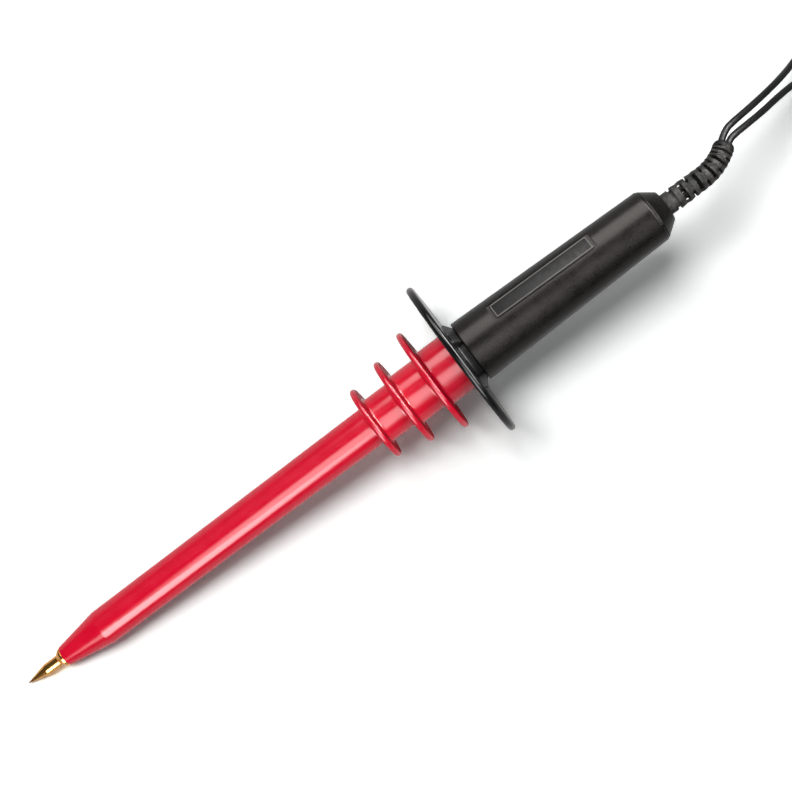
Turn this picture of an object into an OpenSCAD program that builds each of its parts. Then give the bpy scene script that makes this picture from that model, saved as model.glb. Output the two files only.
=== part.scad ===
// High-voltage divider probe for an oscilloscope, lying on a bench at rest.
// Millimetres, +Z up. The probe lies along X with its point towards -X, and it
// rests on the nose of the barrel and on the rim of the finger guard. The origin
// is on the bench, under the middle of the probe. Two leads leave the handle:
// a signal lead with a bayonet plug, and a ground lead with a spring clip.

/* [Contact tip] */
// Length of the conical point
point_len = 8; // [5:0.5:9]
// Radius of the plain shank
shank_r = 2.05; // [1.8:0.05:2.3]
// Distance from the point to the flange
flange_s = 13.5; // [12:0.25:15]
// Radius of the flange
flange_r = 3.4; // [3:0.1:3.6]
// Thickness of the flange, with its conical back
flange_t = 2.4; // [2.2:0.1:3]
// Length of the stud behind the flange
stud_len = 9; // [7:0.5:11]
// Radius of the stud
stud_r = 1.5; // [1.3:0.05:1.6]
// Outer radius of the threaded insert
insert_r = 2.8; // [2.4:0.1:3]
// Length of the threaded insert
insert_len = 11; // [9:0.5:12]

/* [Barrel] */
// Radius of the nose behind the flange
nose_tip_r = 3.65; // [3.5:0.05:4]
// Length of the conical nose
nose_len = 16.8; // [14:0.2:20]
// Radius where the nose meets the barrel
nose_r = 6.52; // [6.3:0.02:6.8]
// Radius of the barrel in front of the first rib
barrel_r = 7.17; // [6.9:0.01:7.5]
// Bore radius of the barrel
barrel_bore_r = 4.6; // [4.2:0.1:5]
// Distance from the point to the first rib
rib_s = 150.9; // [140:0.1:152]
// Distance between ribs
rib_pitch = 12.1; // [11:0.1:12.3]
// Radius of the first rib
rib_r_1 = 13.9; // [12:0.1:16]
// Radius of the second rib
rib_r_2 = 16.55; // [14:0.05:19]
// Radius of the third rib
rib_r_3 = 19.8; // [17:0.1:23]
// Thickness of a rib
rib_t = 2.2; // [1.6:0.1:3]
// Barrel radius behind the first rib
step_r_1 = 8.6; // [8.2:0.1:9]
// Barrel radius behind the second rib
step_r_2 = 9.75; // [9.2:0.05:10.2]
// Barrel radius behind the third rib
step_r_3 = 10.8; // [10.4:0.1:11.2]
// Radius of the spigot that enters the handle
spigot_r = 7.5; // [7.2:0.1:7.7]
// Length of the spigot behind the guard's front face
spigot_len = 17; // [15:0.5:17.5]
// Bore radius of the spigot
spigot_bore_r = 5.4; // [4.8:0.1:5.6]

/* [Divider inside the barrel] */
// Radius of the high-voltage resistor
resistor_r = 3; // [2.5:0.1:3.3]
// Length of the resistor, with its caps
resistor_len = 130; // [100:1:134]
// Radius of the resistor's end caps
resistor_cap_r = 3.3; // [3.1:0.05:3.6]
// Length of an end cap
resistor_cap_len = 8; // [6:0.5:10]
// Turns of the contact spring
contact_spring_turns = 5; // [4:1:6]
// Radius of the contact spring, to the middle of its wire
contact_spring_r = 1.9; // [1.6:0.1:2.2]
// Thickness of a centring ring
centring_t = 5; // [3:0.5:8]

/* [Finger guard] */
// Radius of the guard disc
guard_r = 30; // [26:0.5:33]
// Thickness of the guard disc
guard_t = 2.6; // [2:0.1:3]
// Radius of the neck between the guard and the handle
guard_neck_r = 9.6; // [9.2:0.1:10]
// Length of the neck
guard_neck_len = 2.7; // [2:0.1:3.5]
// Height of a gusset over the neck
gusset_h = 4.6; // [3:0.1:5]
// Thickness of a gusset
gusset_t = 1; // [0.8:0.1:1.5]
// Angle of the first gusset, from the top
gusset_angle = 26; // [0:1:89]
// Thickness of the sealing ring in front of the guard
seal_t = 1.2; // [1:0.1:1.5]

/* [Handle] */
// Front radius of the handle
handle_front_r = 11.6; // [11.3:0.1:12.2]
// Rear radius of the handle
handle_rear_r = 9.75; // [9.5:0.05:10]
// Distance from the point to the handle's rear edge
handle_end_s = 267.6; // [262:0.2:275]
// Wall of the handle
handle_wall = 2.2; // [1.9:0.1:2.3]
// Thickness of the handle's front wall
front_wall = 3; // [2.5:0.1:4]
// Distance from the handle's front edge to the label plate
label_inset = 14; // [8:0.5:24]
// Length of the label plate
label_len = 40; // [30:0.5:42]
// Width of the label plate
label_w = 6.2; // [5:0.1:6.6]
// Thickness of the label plate
label_t = 0.5; // [0.3:0.05:0.7]
// Depth of the label's recess in the middle
label_depth = 0.9; // [0.8:0.05:1]
// Angle of the label, from the top
label_angle = 35; // [0:1:80]

/* [End cap] */
// Length of the cap's cone
cap_len = 5.4; // [4:0.2:8]
// Rear radius of the cap's cone
cap_end_r = 5.7; // [5.4:0.1:6.5]
// Length of the spigot inside the handle
cap_spigot_len = 8.4; // [7:0.2:10]
// Wall of the cap's spigot
cap_wall = 2.2; // [1.8:0.1:2.4]
// Length of the shelf that holds the board and the leads
shelf_len = 14; // [13:0.5:16]
// Thickness of the shelf
shelf_t = 1.6; // [1.4:0.1:1.8]
// Half the width of the shelf
shelf_half = 4.9; // [4.8:0.05:5]

/* [Circuit] */
// Outer radius of the screen tube
screen_r = 7.1; // [7:0.05:7.2]
// Wall of the screen tube
screen_wall = 0.4; // [0.3:0.05:0.5]
// Length of the screen tube
screen_len = 46; // [40:1:48]
// Length of the circuit board
board_len = 40; // [34:1:42]
// Width of the circuit board
board_w = 12; // [11:0.1:12.1]
// Thickness of the circuit board
board_t = 1.2; // [1:0.1:1.3]
// Radius of the clamp and board screws
screw_r = 1; // [0.8:0.05:1]
// Thickness of the cord clamp
clamp_t = 1.4; // [1:0.1:1.8]

/* [Leads] */
// Diameter of a lead
lead_d = 2.4; // [2.2:0.05:2.4]
// Gap between the turns of a coil
coil_gap = 0.5; // [0.45:0.05:0.8]
// Outer radius of a coil, to the middle of the lead
coil_r = 17.1; // [16:0.1:20]
// Whole turns of a coil
coil_loops = 9; // [7:1:9]

/* [Strain relief] */
// Length of the plain neck behind the cap
relief_neck_len = 3; // [2:0.1:4]
// Radius of the neck
relief_neck_r = 3.9; // [3.7:0.05:4]
// Straight length behind the cap
relief_straight = 15; // [12:0.5:20]
// Radius of the bend
relief_bend_r = 20; // [15:0.5:30]
// Angle of the bend
relief_bend = 38; // [10:1:50]
// Radius of the first ring
relief_front_r = 4.1; // [3.9:0.05:4.4]
// Radius of the last ring
relief_rear_r = 3.6; // [3.4:0.05:3.7]
// Bore radius of the strain relief
relief_bore_r = 2.7; // [2.6:0.05:2.75]
// Width of the first slot between two rings
slot_w = 1.5; // [1.2:0.1:1.6]
// Width of the last slot
last_slot_w = 0.8; // [0.7:0.05:1]
// Width of a web between two rings
web_w = 3; // [2:0.1:4]

/* [Bayonet plug] */
// Radius of the collar
collar_r = 7.25; // [7.1:0.05:7.8]
// Length of the collar
collar_len = 21; // [20:0.5:22]
// Front bore radius of the collar
collar_bore_r = 4.9; // [4.85:0.05:5]
// Radius of the contact sleeve
sleeve_r = 4.05; // [4:0.01:4.1]
// Free length of the contact sleeve
sleeve_len = 11; // [9:0.5:12]
// Radius of the centre pin
pin_r = 0.68; // [0.65:0.01:0.7]
// Length of the plug's cable boot
plug_boot_len = 16; // [15:0.5:20]
// Travel of the collar towards the lead
collar_travel = 0.8; // [0.6:0.1:1]
// Width of a bayonet slot
bayonet_w = 2.2; // [2:0.1:2.3]

/* [Clip] */
// Distance from the clip's pivot to the tips of the jaws
jaw_len = 24; // [20:0.5:30]
// Distance from the clip's pivot to the end of the handles
grip_len = 20; // [18:0.5:24]
// Outer width of the fixed jaw
jaw_w = 8; // [7.6:0.1:9]
// Thickness of the sheet
sheet_t = 0.8; // [0.6:0.1:0.8]
// Height of a jaw at the pivot
jaw_h = 4.4; // [4.2:0.1:5]
// Angle between the grips at rest
grip_angle = 33; // [30:1:38]
// Radius of the pivot pin
pivot_r = 1; // [0.9:0.05:1.1]
// Number of teeth on a jaw
teeth = 10; // [6:1:14]
// Turns of the clip's spring
clip_spring_turns = 3; // [2:1:3]

/* [Fits] */
// Clearance of a part that slips over another
slip = 0.05; // [0.02:0.01:0.08]
// Clearance between parts that move past each other
run_gap = 0.3; // [0.2:0.05:0.3]

/* [Hidden] */
$fn = 64;
eps = 0.01;

// Places along the probe, from the point
nose_s = flange_s + flange_t + slip;
cone_s = nose_s + nose_len;
rib_s_2 = rib_s + rib_pitch;
rib_s_3 = rib_s_2 + rib_pitch;
guard_s = rib_s_3 + rib_pitch;
guard_front_s = guard_s - guard_t / 2;
guard_rear_s = guard_s + guard_t / 2;
handle_s = guard_rear_s + guard_neck_len;
spigot_end_s = guard_front_s + spigot_len;
cap_end_s = handle_end_s + cap_len;
shelf_s = handle_end_s - cap_spigot_len - shelf_len;
label_s = handle_s + label_inset;
insert_s = nose_s + slip;
resistor_s = insert_s + insert_len + 6;
resistor_end_s = resistor_s + resistor_len;
screen_s = handle_end_s - cap_spigot_len - screen_len;
board_end_s = shelf_s + shelf_len - 7;
board_s = board_end_s - board_len;
taper = atan((handle_front_r - handle_rear_r) / (handle_end_s - handle_s));

// The probe rests on the edge of the nose and on the rounded rim of the guard
rest_run = guard_s - cone_s;
rest_rise = guard_r - guard_t / 2 - nose_r;
tilt = atan(rest_rise / rest_run) + asin(guard_t / 2 / norm([rest_run, rest_rise]));
point_z = nose_r * cos(tilt) - cone_s * sin(tilt);
probe_mid_x = (cap_end_s * cos(tilt) + cap_end_r * sin(tilt)) / 2;

function handle_r(s) = handle_front_r - (s - handle_s) * tan(taper);

// Puts a piece, drawn upright with the point at Z=0, where the probe lies
module on_probe() {
    translate([-probe_mid_x, 0, point_z]) rotate([0, 90 - tilt, 0]) children();
}

// Turns +X of an upright piece to an angle from the probe's top, towards +Y
module at_angle(a) {
    rotate([0, 0, 180 - a]) children();
}

// The same placing for a point of a route
function on_probe_at(p) = [p.x * sin(tilt) + p.z * cos(tilt) - probe_mid_x, p.y,
    -p.x * cos(tilt) + p.z * sin(tilt) + point_z];

module ring(s0, s1, r_out, r_in) {
    rotate_extrude() translate([r_in, s0]) square([r_out - r_in, s1 - s0]);
}

// ---- Swept tubes ----

function unit(v) = v / norm(v);

// A smooth run through hand-chosen points, with two rings to a span
function smooth(p) = let (n = len(p) - 1) [
    for (i = [0 : n - 1])
        for (t = [0, 0.5])
            let (a = p[max(i - 1, 0)], b = p[i], c = p[i + 1], d = p[min(i + 2, n)])
            t == 0 ? b : (9 * (b + c) - a - d) / 16,
    p[n]
];

function step_dir(p, i) = unit(p[i + 1] - p[i]);
function tube_dir(p, i) = i == 0 ? step_dir(p, 0)
    : i == len(p) - 1 ? step_dir(p, i - 1)
    : unit(step_dir(p, i - 1) + step_dir(p, i));

// One unbroken tube of triangles along points that never run straight up
module tube(p, r, sides, up = [0, 0, 1]) {
    n = len(p);
    points = [
        for (i = [0 : n - 1])
            let (t = tube_dir(p, i), side = unit(cross(t, up)), over = cross(side, t))
            for (k = [0 : sides - 1])
                p[i] + r * (cos(360 * k / sides) * side + sin(360 * k / sides) * over)
    ];
    walls = [
        for (i = [0 : n - 2])
            for (k = [0 : sides - 1])
                let (a = i * sides + k, b = i * sides + (k + 1) % sides)
                each [[a, a + sides, b], [b, a + sides, b + sides]]
    ];
    ends = [
        for (k = [1 : sides - 2])
            each [[0, k, k + 1], [(n - 1) * sides, (n - 1) * sides + k + 1, (n - 1) * sides + k]]
    ];
    polyhedron(points = points, faces = concat(walls, ends));
}

// Least distance between the middle lines of turns, more than half a loop apart
function least_gap(p, apart) = min([
    for (i = [0 : len(p) - 1])
        for (j = [i + apart : 1 : len(p) - 1])
            norm(p[i] - p[j])
]);

// ---- Coils ----

loop_rings = 24;
coil_layers = 4;
coil_pitch = lead_d + coil_gap;
coil_bottom_z = lead_d / 2 + slip;

// Goes 0 to 1 and back at a steady rate, once a layer
function fold(x) = let (m = x - 2 * floor(x / 2)) m < 1 ? m : 2 - m;

// Layer height: a layer is climbed in the half turn where the spiral reverses
function climbed(t, per_layer) = let (k = round(t / per_layer), into = t - k * per_layer)
    k < 1 ? 0
    : k >= coil_layers ? coil_layers - 1
    : abs(into) < 0.25 ? k - 1 + (into + 0.25) / 0.5
    : into < 0 ? k - 1 : k;

function coil_point(c, a, t, per_layer) = let (
    r = coil_r - coil_pitch * per_layer * fold(t / per_layer))
    [c.x + r * cos(a), c.y + r * sin(a), coil_bottom_z + coil_pitch * climbed(t, per_layer)];

// A clockwise coil that enters at one angle and leaves at another, along straight ends
function coil_path(c, enter, leave) = let (
    turns = coil_loops + (enter - leave) / 360,
    turned = [for (k = [0 : turns * loop_rings])
        coil_point(c, enter - 360 * k / loop_rings, k / loop_rings, turns / coil_layers)],
    n = len(turned) - 1,
    way_in = [sin(enter), -cos(enter), 0],
    way_out = [sin(leave), -cos(leave), 0])
    [turned[0] - way_in * lead_d, each turned, turned[n] + way_out * lead_d];

signal_coil_at = [262, 10];
ground_coil_at = [226, -18];
signal_coil_path = coil_path(signal_coil_at, 90, 0);
ground_coil_path = coil_path(ground_coil_at, 38, 83);

// ---- Route of the leads ----

relief_turn = 25;
relief_tip_len = 1.6;
relief_arc = relief_bend_r * relief_bend * PI / 180;
relief_len = relief_straight + relief_arc + relief_tip_len;
lead_side = 1.25;
lead_r = lead_d / 2;

// Place on the strain relief's middle line, d behind the cap, with an offset to one side
function relief_point(d, side) = let (
    a = min(max((d - relief_straight) / relief_arc, 0), 1) * relief_bend,
    over = max(d - relief_straight - relief_arc, 0),
    along = min(d, relief_straight) + relief_bend_r * sin(a) + over * cos(a),
    out = relief_bend_r * (1 - cos(a)) + over * sin(a),
    n = [sin(relief_turn), cos(relief_turn), 0],
    m = [cos(relief_turn), -sin(relief_turn), 0],
    turned = n * cos(a) - [0, 0, 1] * sin(a))
    on_probe_at([0, 0, cap_end_s + along] + n * out
        + side * (turned * cos(relief_turn) - m * sin(relief_turn)));

lead_start_d = shelf_s - cap_end_s + 5;
function inside_route(side) = [
    for (d = [lead_start_d, relief_straight, relief_straight + relief_arc / 3,
        relief_straight + relief_arc * 2 / 3, relief_straight + relief_arc, relief_len])
        relief_point(d, side)
];

signal_points = [
    [164.8, 7.3, 44.4], [167.8, 8.5, 43.8], [172.2, 9, 42.6], [178.3, 9.4, 39.9],
    [187.6, 10.2, 34.7], [196.6, 11.2, 28.6], [204.5, 12.4, 22.2], [212, 14, 16.2],
    [219.5, 15.7, 11], [227.5, 17.4, 6], [236, 19.6, 2.3], [243.5, 22.8, 1.3], [250.5, 25.6, 1.3]
];
ground_points = [
    [166.4, 4.9, 44.2], [170.6, 5.3, 43.2], [176.5, 5.5, 40.9], [184, 5.9, 37], [191, 6.5, 32.4],
    [197.8, 6.9, 27.2], [204, 7, 21.9], [210.3, 6.6, 16.4], [217, 5.4, 10.9], [224.2, 3.7, 6],
    [230.7, 1.2, 2.3]
];

function into_coil(path) = path[0] + unit(path[0] - path[1]) * lead_d;
function out_of_coil(path) = let (n = len(path) - 1)
    [path[n], path[n] + unit(path[n] - path[n - 1]) * lead_d];

function lead_path(side, points, coil) = let (inside = inside_route(side))
    concat([for (k = [0 : len(inside) - 2]) inside[k]],
        smooth([inside[len(inside) - 1], each points, into_coil(coil)]), [coil[0]]);

signal_lead_path = lead_path(lead_side, signal_points, signal_coil_path);
ground_lead_path = lead_path(-lead_side, ground_points, ground_coil_path);

// ---- Contact tip and divider ----

module tip_contact() {
    color("#c9a227") on_probe() {
        rotate_extrude() polygon([[0, 0], [0.15, 0.05], [shank_r, point_len], [shank_r, flange_s],
            [flange_r, flange_s + flange_t - 0.8], [flange_r, flange_s + flange_t],
            [stud_r, flange_s + flange_t], [stud_r, flange_s + flange_t + stud_len],
            [0, flange_s + flange_t + stud_len]]);
    }
}

module tip_insert() {
    color("#b5912a") on_probe()
        difference() {
            ring(insert_s, insert_s + insert_len, insert_r, 0);
            translate([0, 0, insert_s - 1]) cylinder(r = stud_r + slip, h = stud_len + 1.6);
            for (k = [0 : 1])
                ring(insert_s + 3 + 3 * k, insert_s + 4 + 3 * k, insert_r + 1, insert_r - 0.3);
        }
}

spring_wire_r = 0.3;
contact_spring_len = resistor_s - insert_s - insert_len - 2 * slip;
module contact_spring() {
    steps = contact_spring_turns * 8;
    rise = contact_spring_len - 2 * spring_wire_r;
    path = [for (k = [0 : steps]) [contact_spring_r * cos(45 * k), contact_spring_r * sin(45 * k),
        insert_s + insert_len + slip + spring_wire_r + rise * k / steps]];
    echo(contact_spring_gap = rise / contact_spring_turns - 2 * spring_wire_r);
    color("silver") on_probe() tube(path, spring_wire_r, 6);
}

module resistor_rod() {
    color("#d9d2c0") on_probe()
        ring(resistor_s + 1, resistor_end_s - 1, resistor_r, 0);
}

module resistor_cap(s, open_up) {
    color("silver") on_probe() difference() {
        translate([0, 0, s]) cylinder(r = resistor_cap_r, h = resistor_cap_len);
        translate([0, 0, open_up ? s + 1 : s - eps])
            cylinder(r = resistor_r, h = resistor_cap_len - 1 + eps);
    }
}

module resistor_front_cap() {
    resistor_cap(resistor_s, true);
}

module resistor_rear_cap() {
    resistor_cap(resistor_end_s - resistor_cap_len, false);
}

centring_inset = 14;
module centring_rings() {
    color("#3a3a3a") on_probe()
        for (s = [resistor_s + centring_inset, resistor_end_s - centring_inset - centring_t])
            ring(s, s + centring_t, barrel_bore_r - slip, resistor_r + slip);
}

// ---- Barrel, guard and handle ----

module rib(s, r) {
    translate([barrel_bore_r + 1, s - rib_t / 2]) square([r - rib_t / 2 - barrel_bore_r - 1, rib_t]);
    translate([r - rib_t / 2, s]) circle(d = rib_t);
}

module barrel() {
    color("#c8102e") on_probe() difference() {
        rotate_extrude() {
            polygon([[0, nose_s], [nose_tip_r - 0.3, nose_s], [nose_tip_r, nose_s + 0.3],
                [nose_r, cone_s], [barrel_r, rib_s], [step_r_1, rib_s], [step_r_1, rib_s_2],
                [step_r_2, rib_s_2], [step_r_2, rib_s_3], [step_r_3, rib_s_3],
                [step_r_3, guard_front_s - slip], [spigot_r, guard_front_s - slip],
                [spigot_r, spigot_end_s], [0, spigot_end_s]]);
            rib(rib_s, rib_r_1);
            rib(rib_s_2, rib_r_2);
            rib(rib_s_3, rib_r_3);
        }
        translate([0, 0, nose_s - 1]) cylinder(r = stud_r + slip, h = 2);
        translate([0, 0, insert_s]) cylinder(r = insert_r + slip, h = insert_len + 1);
        rotate_extrude() polygon([[0, insert_s + insert_len], [insert_r + slip, insert_s + insert_len],
            [barrel_bore_r, insert_s + insert_len + 5], [barrel_bore_r, guard_front_s - 4],
            [spigot_bore_r, guard_front_s], [spigot_bore_r, spigot_end_s + 1], [0, spigot_end_s + 1]]);
        ring(guard_front_s - seal_t, guard_front_s + 1, step_r_3 - 1, spigot_r);
    }
}

module barrel_seal() {
    color("#202020") on_probe()
        ring(guard_front_s - seal_t + slip, guard_front_s - slip, step_r_3 - 1 - slip, spigot_r + slip);
}

module finger_guard() {
    color("#151515") on_probe() difference() {
        union() {
            rotate_extrude() {
                translate([0, guard_front_s]) square([guard_r - guard_t / 2, guard_t]);
                translate([guard_r - guard_t / 2, guard_s]) circle(d = guard_t);
                translate([0, guard_s]) square([guard_neck_r, handle_s - slip - guard_s]);
            }
            for (k = [0 : 3]) at_angle(gusset_angle + 90 * k)
                translate([0, gusset_t / 2, guard_s]) rotate([90, 0, 0]) linear_extrude(gusset_t)
                    polygon([[guard_neck_r - 1, 0], [guard_neck_r + gusset_h, 0],
                        [guard_neck_r + gusset_h, guard_t / 2 + 0.4],
                        [handle_front_r - 0.4, handle_s - slip - guard_s],
                        [guard_neck_r - 1, handle_s - slip - guard_s]]);
        }
        translate([0, 0, guard_front_s - 1]) cylinder(r = spigot_r + slip, h = guard_t + guard_neck_len + 2);
    }
}

// The nut grips the spigot, and the handle is hollow wide enough for it
nut_wall = 1.3;
nut_r = spigot_r + nut_wall;
nut_s = handle_s + front_wall + slip;
module barrel_nut() {
    color("#b9b9b4") on_probe() difference() {
        ring(nut_s, spigot_end_s - 2, nut_r, spigot_r + slip);
        for (a = [0 : 90 : 270]) rotate([0, 0, a])
            translate([nut_r - 0.8, -1, nut_s + 1.5]) cube([2, 2, spigot_len]);
    }
}

cap_spigot_r = handle_rear_r - handle_wall - 0.05;
module handle_shell() {
    color("#1c1c1c") on_probe() difference() {
        rotate_extrude() polygon([[0, handle_s], [handle_front_r - 0.4, handle_s],
            [handle_front_r, handle_s + 0.4], [handle_rear_r, handle_end_s], [0, handle_end_s]]);
        rotate_extrude() polygon([[0, handle_s + front_wall],
            [handle_r(handle_s + front_wall) - handle_wall, handle_s + front_wall],
            [cap_spigot_r + slip, handle_end_s - cap_spigot_len - 4],
            [cap_spigot_r + slip, handle_end_s + 1], [0, handle_end_s + 1]]);
        ring(nut_s, spigot_end_s, nut_r + run_gap, 0);
        translate([0, 0, handle_s - 1]) cylinder(r = spigot_r + slip, h = front_wall + 2);
        label_box(label_len + 2, label_w + 1, label_depth, 5);
    }
}

// A block that lies on the tapering handle under the label, open outwards
module label_box(length, width, depth, over) {
    mid = label_s + label_len / 2;
    at_angle(label_angle) translate([handle_r(mid), 0, mid]) rotate([0, -taper, 0])
        translate([-depth, -width / 2, -length / 2]) cube([over, width, length]);
}

module label_plate() {
    color("#262626") on_probe() label_box(label_len, label_w, label_depth, label_t);
}

flange_len = 2;
cap_seat_s = handle_end_s + 0.4;
relief_flange_r = cap_spigot_r - cap_wall - slip;
module end_cap() {
    color("#1c1c1c") on_probe() difference() {
        union() {
            rotate_extrude() polygon([[0, handle_end_s - cap_spigot_len],
                [cap_spigot_r, handle_end_s - cap_spigot_len], [cap_spigot_r, handle_end_s],
                [handle_rear_r, handle_end_s], [cap_end_r, cap_end_s], [0, cap_end_s]]);
            shelf();
        }
        translate([0, 0, handle_end_s - cap_spigot_len - eps])
            cylinder(r = cap_spigot_r - cap_wall, h = cap_seat_s + flange_len - handle_end_s + cap_spigot_len);
        translate([0, 0, handle_end_s - 3]) cylinder(r = relief_neck_r + slip, h = cap_len + 4);
        for (y = [-1, 1]) {
            screw_hole(shelf_s + 2.5, y);
            screw_hole(shelf_s + shelf_len - 4.2, y);
        }
    }
}

board_x = lead_r + 0.2;
shelf_x = board_x + board_t;
screw_y = 3.7;
module shelf() {
    translate([shelf_x, -shelf_half, shelf_s])
        cube([shelf_t, 2 * shelf_half, shelf_len + 1]);
}

module screw_hole(s, side) {
    translate([shelf_x - 4, side * screw_y, s]) rotate([0, 90, 0]) cylinder(r = screw_r + slip, h = 8);
}

// ---- Strain relief ----

// Puts a piece drawn upright on the strain relief's middle line, d behind the cap
module on_relief(d) {
    a = min(max((d - relief_straight) / relief_arc, 0), 1) * relief_bend;
    over = max(d - relief_straight - relief_arc, 0);
    translate([0, 0, cap_end_s]) rotate([0, 0, 90 - relief_turn])
        translate([relief_bend_r * (1 - cos(a)), 0, min(d, relief_straight) + relief_bend_r * sin(a)])
            rotate([0, a, 0]) translate([0, 0, over]) rotate([0, 0, relief_turn - 90]) children();
}

module relief_arc_piece(a0, a1, r) {
    translate([0, 0, cap_end_s + relief_straight]) rotate([0, 0, 90 - relief_turn])
        translate([relief_bend_r, 0, 0]) rotate([0, 0, 180]) rotate([90, 0, 0])
            rotate([0, 0, a0]) rotate_extrude(angle = a1 - a0) translate([relief_bend_r, 0]) circle(r);
}

relief_groove = 1.3;
first_ring_d = relief_neck_len + relief_groove;
relief_rings = 4;
tip_slope = 0.8;
relief_slots = 10;
first_slot_d = first_ring_d + 3.1;
slot_span = relief_len - 2.1 - first_slot_d;
function slot_d(k) = let (t = k / (relief_slots - 1)) first_slot_d + slot_span * t * (1.45 - 0.45 * t);
module strain_relief() {
    arc_step = relief_bend / relief_rings;
    straight_r = relief_front_r - 0.2;
    ring_drop = (straight_r - relief_rear_r) / (relief_rings + 1);
    color("#1a1a1a") on_probe() difference() {
        union() {
            ring(cap_seat_s, cap_seat_s + flange_len - slip, relief_flange_r, 0);
            ring(cap_seat_s, cap_end_s + relief_neck_len, relief_neck_r, 0);
            ring(cap_end_s, cap_end_s + first_ring_d + 1, relief_bore_r + 0.5, 0);
            translate([0, 0, cap_end_s + first_ring_d])
                cylinder(r1 = relief_front_r, r2 = straight_r, h = relief_straight - first_ring_d + 0.1);
            for (k = [0 : relief_rings - 1])
                relief_arc_piece(arc_step * k - (k > 0 ? 0 : 1), arc_step * (k + 1) + 0.4,
                    straight_r - ring_drop * (k + 1));
            on_relief(relief_straight + relief_arc) rotate_extrude()
                polygon([[0, -0.2], [relief_rear_r, -0.2], [relief_rear_r, relief_tip_len - tip_slope],
                    [relief_rear_r - tip_slope, relief_tip_len], [0, relief_tip_len]]);
        }
        translate([0, 0, cap_seat_s - 1])
            cylinder(r = relief_bore_r, h = cap_end_s - cap_seat_s + relief_straight + 1.05);
        relief_arc_piece(-1, relief_bend, relief_bore_r - slip);
        on_relief(relief_straight + relief_arc) translate([0, 0, -0.5]) {
            for (y = [-1, 1]) translate([0, y * lead_side, 0]) cylinder(r = lead_r + slip, h = relief_tip_len + 2);
            translate([-lead_r, -lead_side, 0]) cube([lead_d, 2 * lead_side, relief_tip_len + 2]);
        }
        for (k = [0 : relief_slots - 1]) let (w = slot_w + (last_slot_w - slot_w) * k / (relief_slots - 1))
            on_relief(slot_d(k)) rotate([0, 0, 90 - 90 * (k % 2)]) difference() {
                translate([-8, -8, -w / 2]) cube([16, 16, w]);
                translate([-9, -web_w / 2, -w]) cube([18, web_w, 2 * w]);
            }
    }
}

// ---- Circuit ----

module screen_tube() {
    color("#c8c4b4") on_probe()
        ring(screen_s, screen_s + screen_len - slip, screen_r, screen_r - screen_wall);
}

module circuit_board() {
    color("#1f6b3a") on_probe() difference() {
        translate([board_x, -board_w / 2, board_s]) cube([board_t, board_w, board_len]);
        for (y = [-1, 1]) screw_hole(shelf_s + 2.5, y);
        for (y = [-1, 1]) translate([board_x - 1, y * lead_side, board_end_s - 3.6])
            rotate([0, 90, 0]) cylinder(r = 0.5, h = 4);
    }
}

divider_len = 9;
leg_r = 0.3;
leg_reach = 2.2;
module divider_resistor() {
    leg = board_x - slip;
    color("#c9a57a") on_probe() translate([0, -3.4, board_end_s - 26]) {
        cylinder(r = 1.25, h = divider_len);
        for (z = [-leg_reach, divider_len + leg_reach])
            translate([0, 0, z]) rotate([0, 90, 0]) cylinder(r = leg_r, h = leg);
        translate([0, 0, -leg_reach - leg_r]) cylinder(r = leg_r, h = divider_len + 2 * (leg_reach + leg_r));
    }
}

trimmer_y = 2.6;
trimmer_s = board_end_s - 23;
module trimmer_body() {
    color("#2f5fa8") on_probe() difference() {
        translate([board_x - 2.2, trimmer_y - 2.6, trimmer_s - 3.4]) cube([2.2, 5.2, 6.8]);
        translate([board_x - 4, trimmer_y, trimmer_s]) rotate([0, 90, 0]) cylinder(r = 1.6 + slip, h = 3.4);
    }
}

module trimmer_rotor() {
    color("#e8e4d8") on_probe() translate([board_x - 2.6, trimmer_y, trimmer_s]) rotate([0, 90, 0])
        difference() {
            cylinder(r = 1.6, h = 1.9);
            translate([-1.3, -0.25, -1]) cube([2.6, 0.5, 1.6]);
        }
}

module capacitors() {
    color("#d08a3a") on_probe()
        for (s = [board_end_s - 14, board_end_s - 9]) translate([board_x - 2.4, trimmer_y, s]) {
            rotate([90, 0, 0]) translate([0, 0, -0.8]) cylinder(r = 1.9, h = 1.6);
            for (z = [-1, 1]) translate([1, 0, z]) rotate([0, 90, 0]) cylinder(r = 0.25, h = 1.4 - slip);
        }
}

module input_wire() {
    path = [[0, 0, resistor_end_s], [0, 0, resistor_end_s + 3], [-0.4, 0, spigot_end_s - 4],
        [-1, 0, spigot_end_s + 2], [-0.6, 0, board_s + 1], [board_x - 0.6, 0, board_s + 3.5],
        [board_x - 0.6, 0, board_s + 5]];
    color("#b03030") on_probe() tube(path, 0.5, 8, [1, 0, 0]);
}

module cord_clamp() {
    color("#b9b9b4") on_probe() difference() {
        translate([-lead_r - slip - clamp_t, -shelf_half, shelf_s + shelf_len - 6.2])
            cube([clamp_t, 2 * shelf_half, 4]);
        for (y = [-1, 1]) translate([-6, y * screw_y, shelf_s + shelf_len - 4.2])
            rotate([0, 90, 0]) cylinder(r = screw_r + slip, h = 8);
    }
}

module small_screw(x, y, s) {
    translate([x, y, s]) rotate([0, 90, 0]) difference() {
        union() {
            translate([0, 0, -1]) cylinder(r = screw_r + 0.55, h = 1 - slip);
            translate([0, 0, -eps - slip]) cylinder(r = screw_r, h = shelf_x + shelf_t - x);
        }
        translate([-0.2, -2, -1.5]) cube([0.4, 4, 1]);
    }
}

module clamp_screws() {
    color("silver") on_probe() for (y = [-1, 1])
        small_screw(-lead_r - slip - clamp_t, y * screw_y, shelf_s + shelf_len - 4.2);
}

module board_screws() {
    color("silver") on_probe() for (y = [-1, 1]) small_screw(board_x, y * screw_y, shelf_s + 2.5);
}

// ---- Leads ----

module signal_lead() {
    color("#101010") tube(signal_lead_path, lead_r, 8);
}

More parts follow.
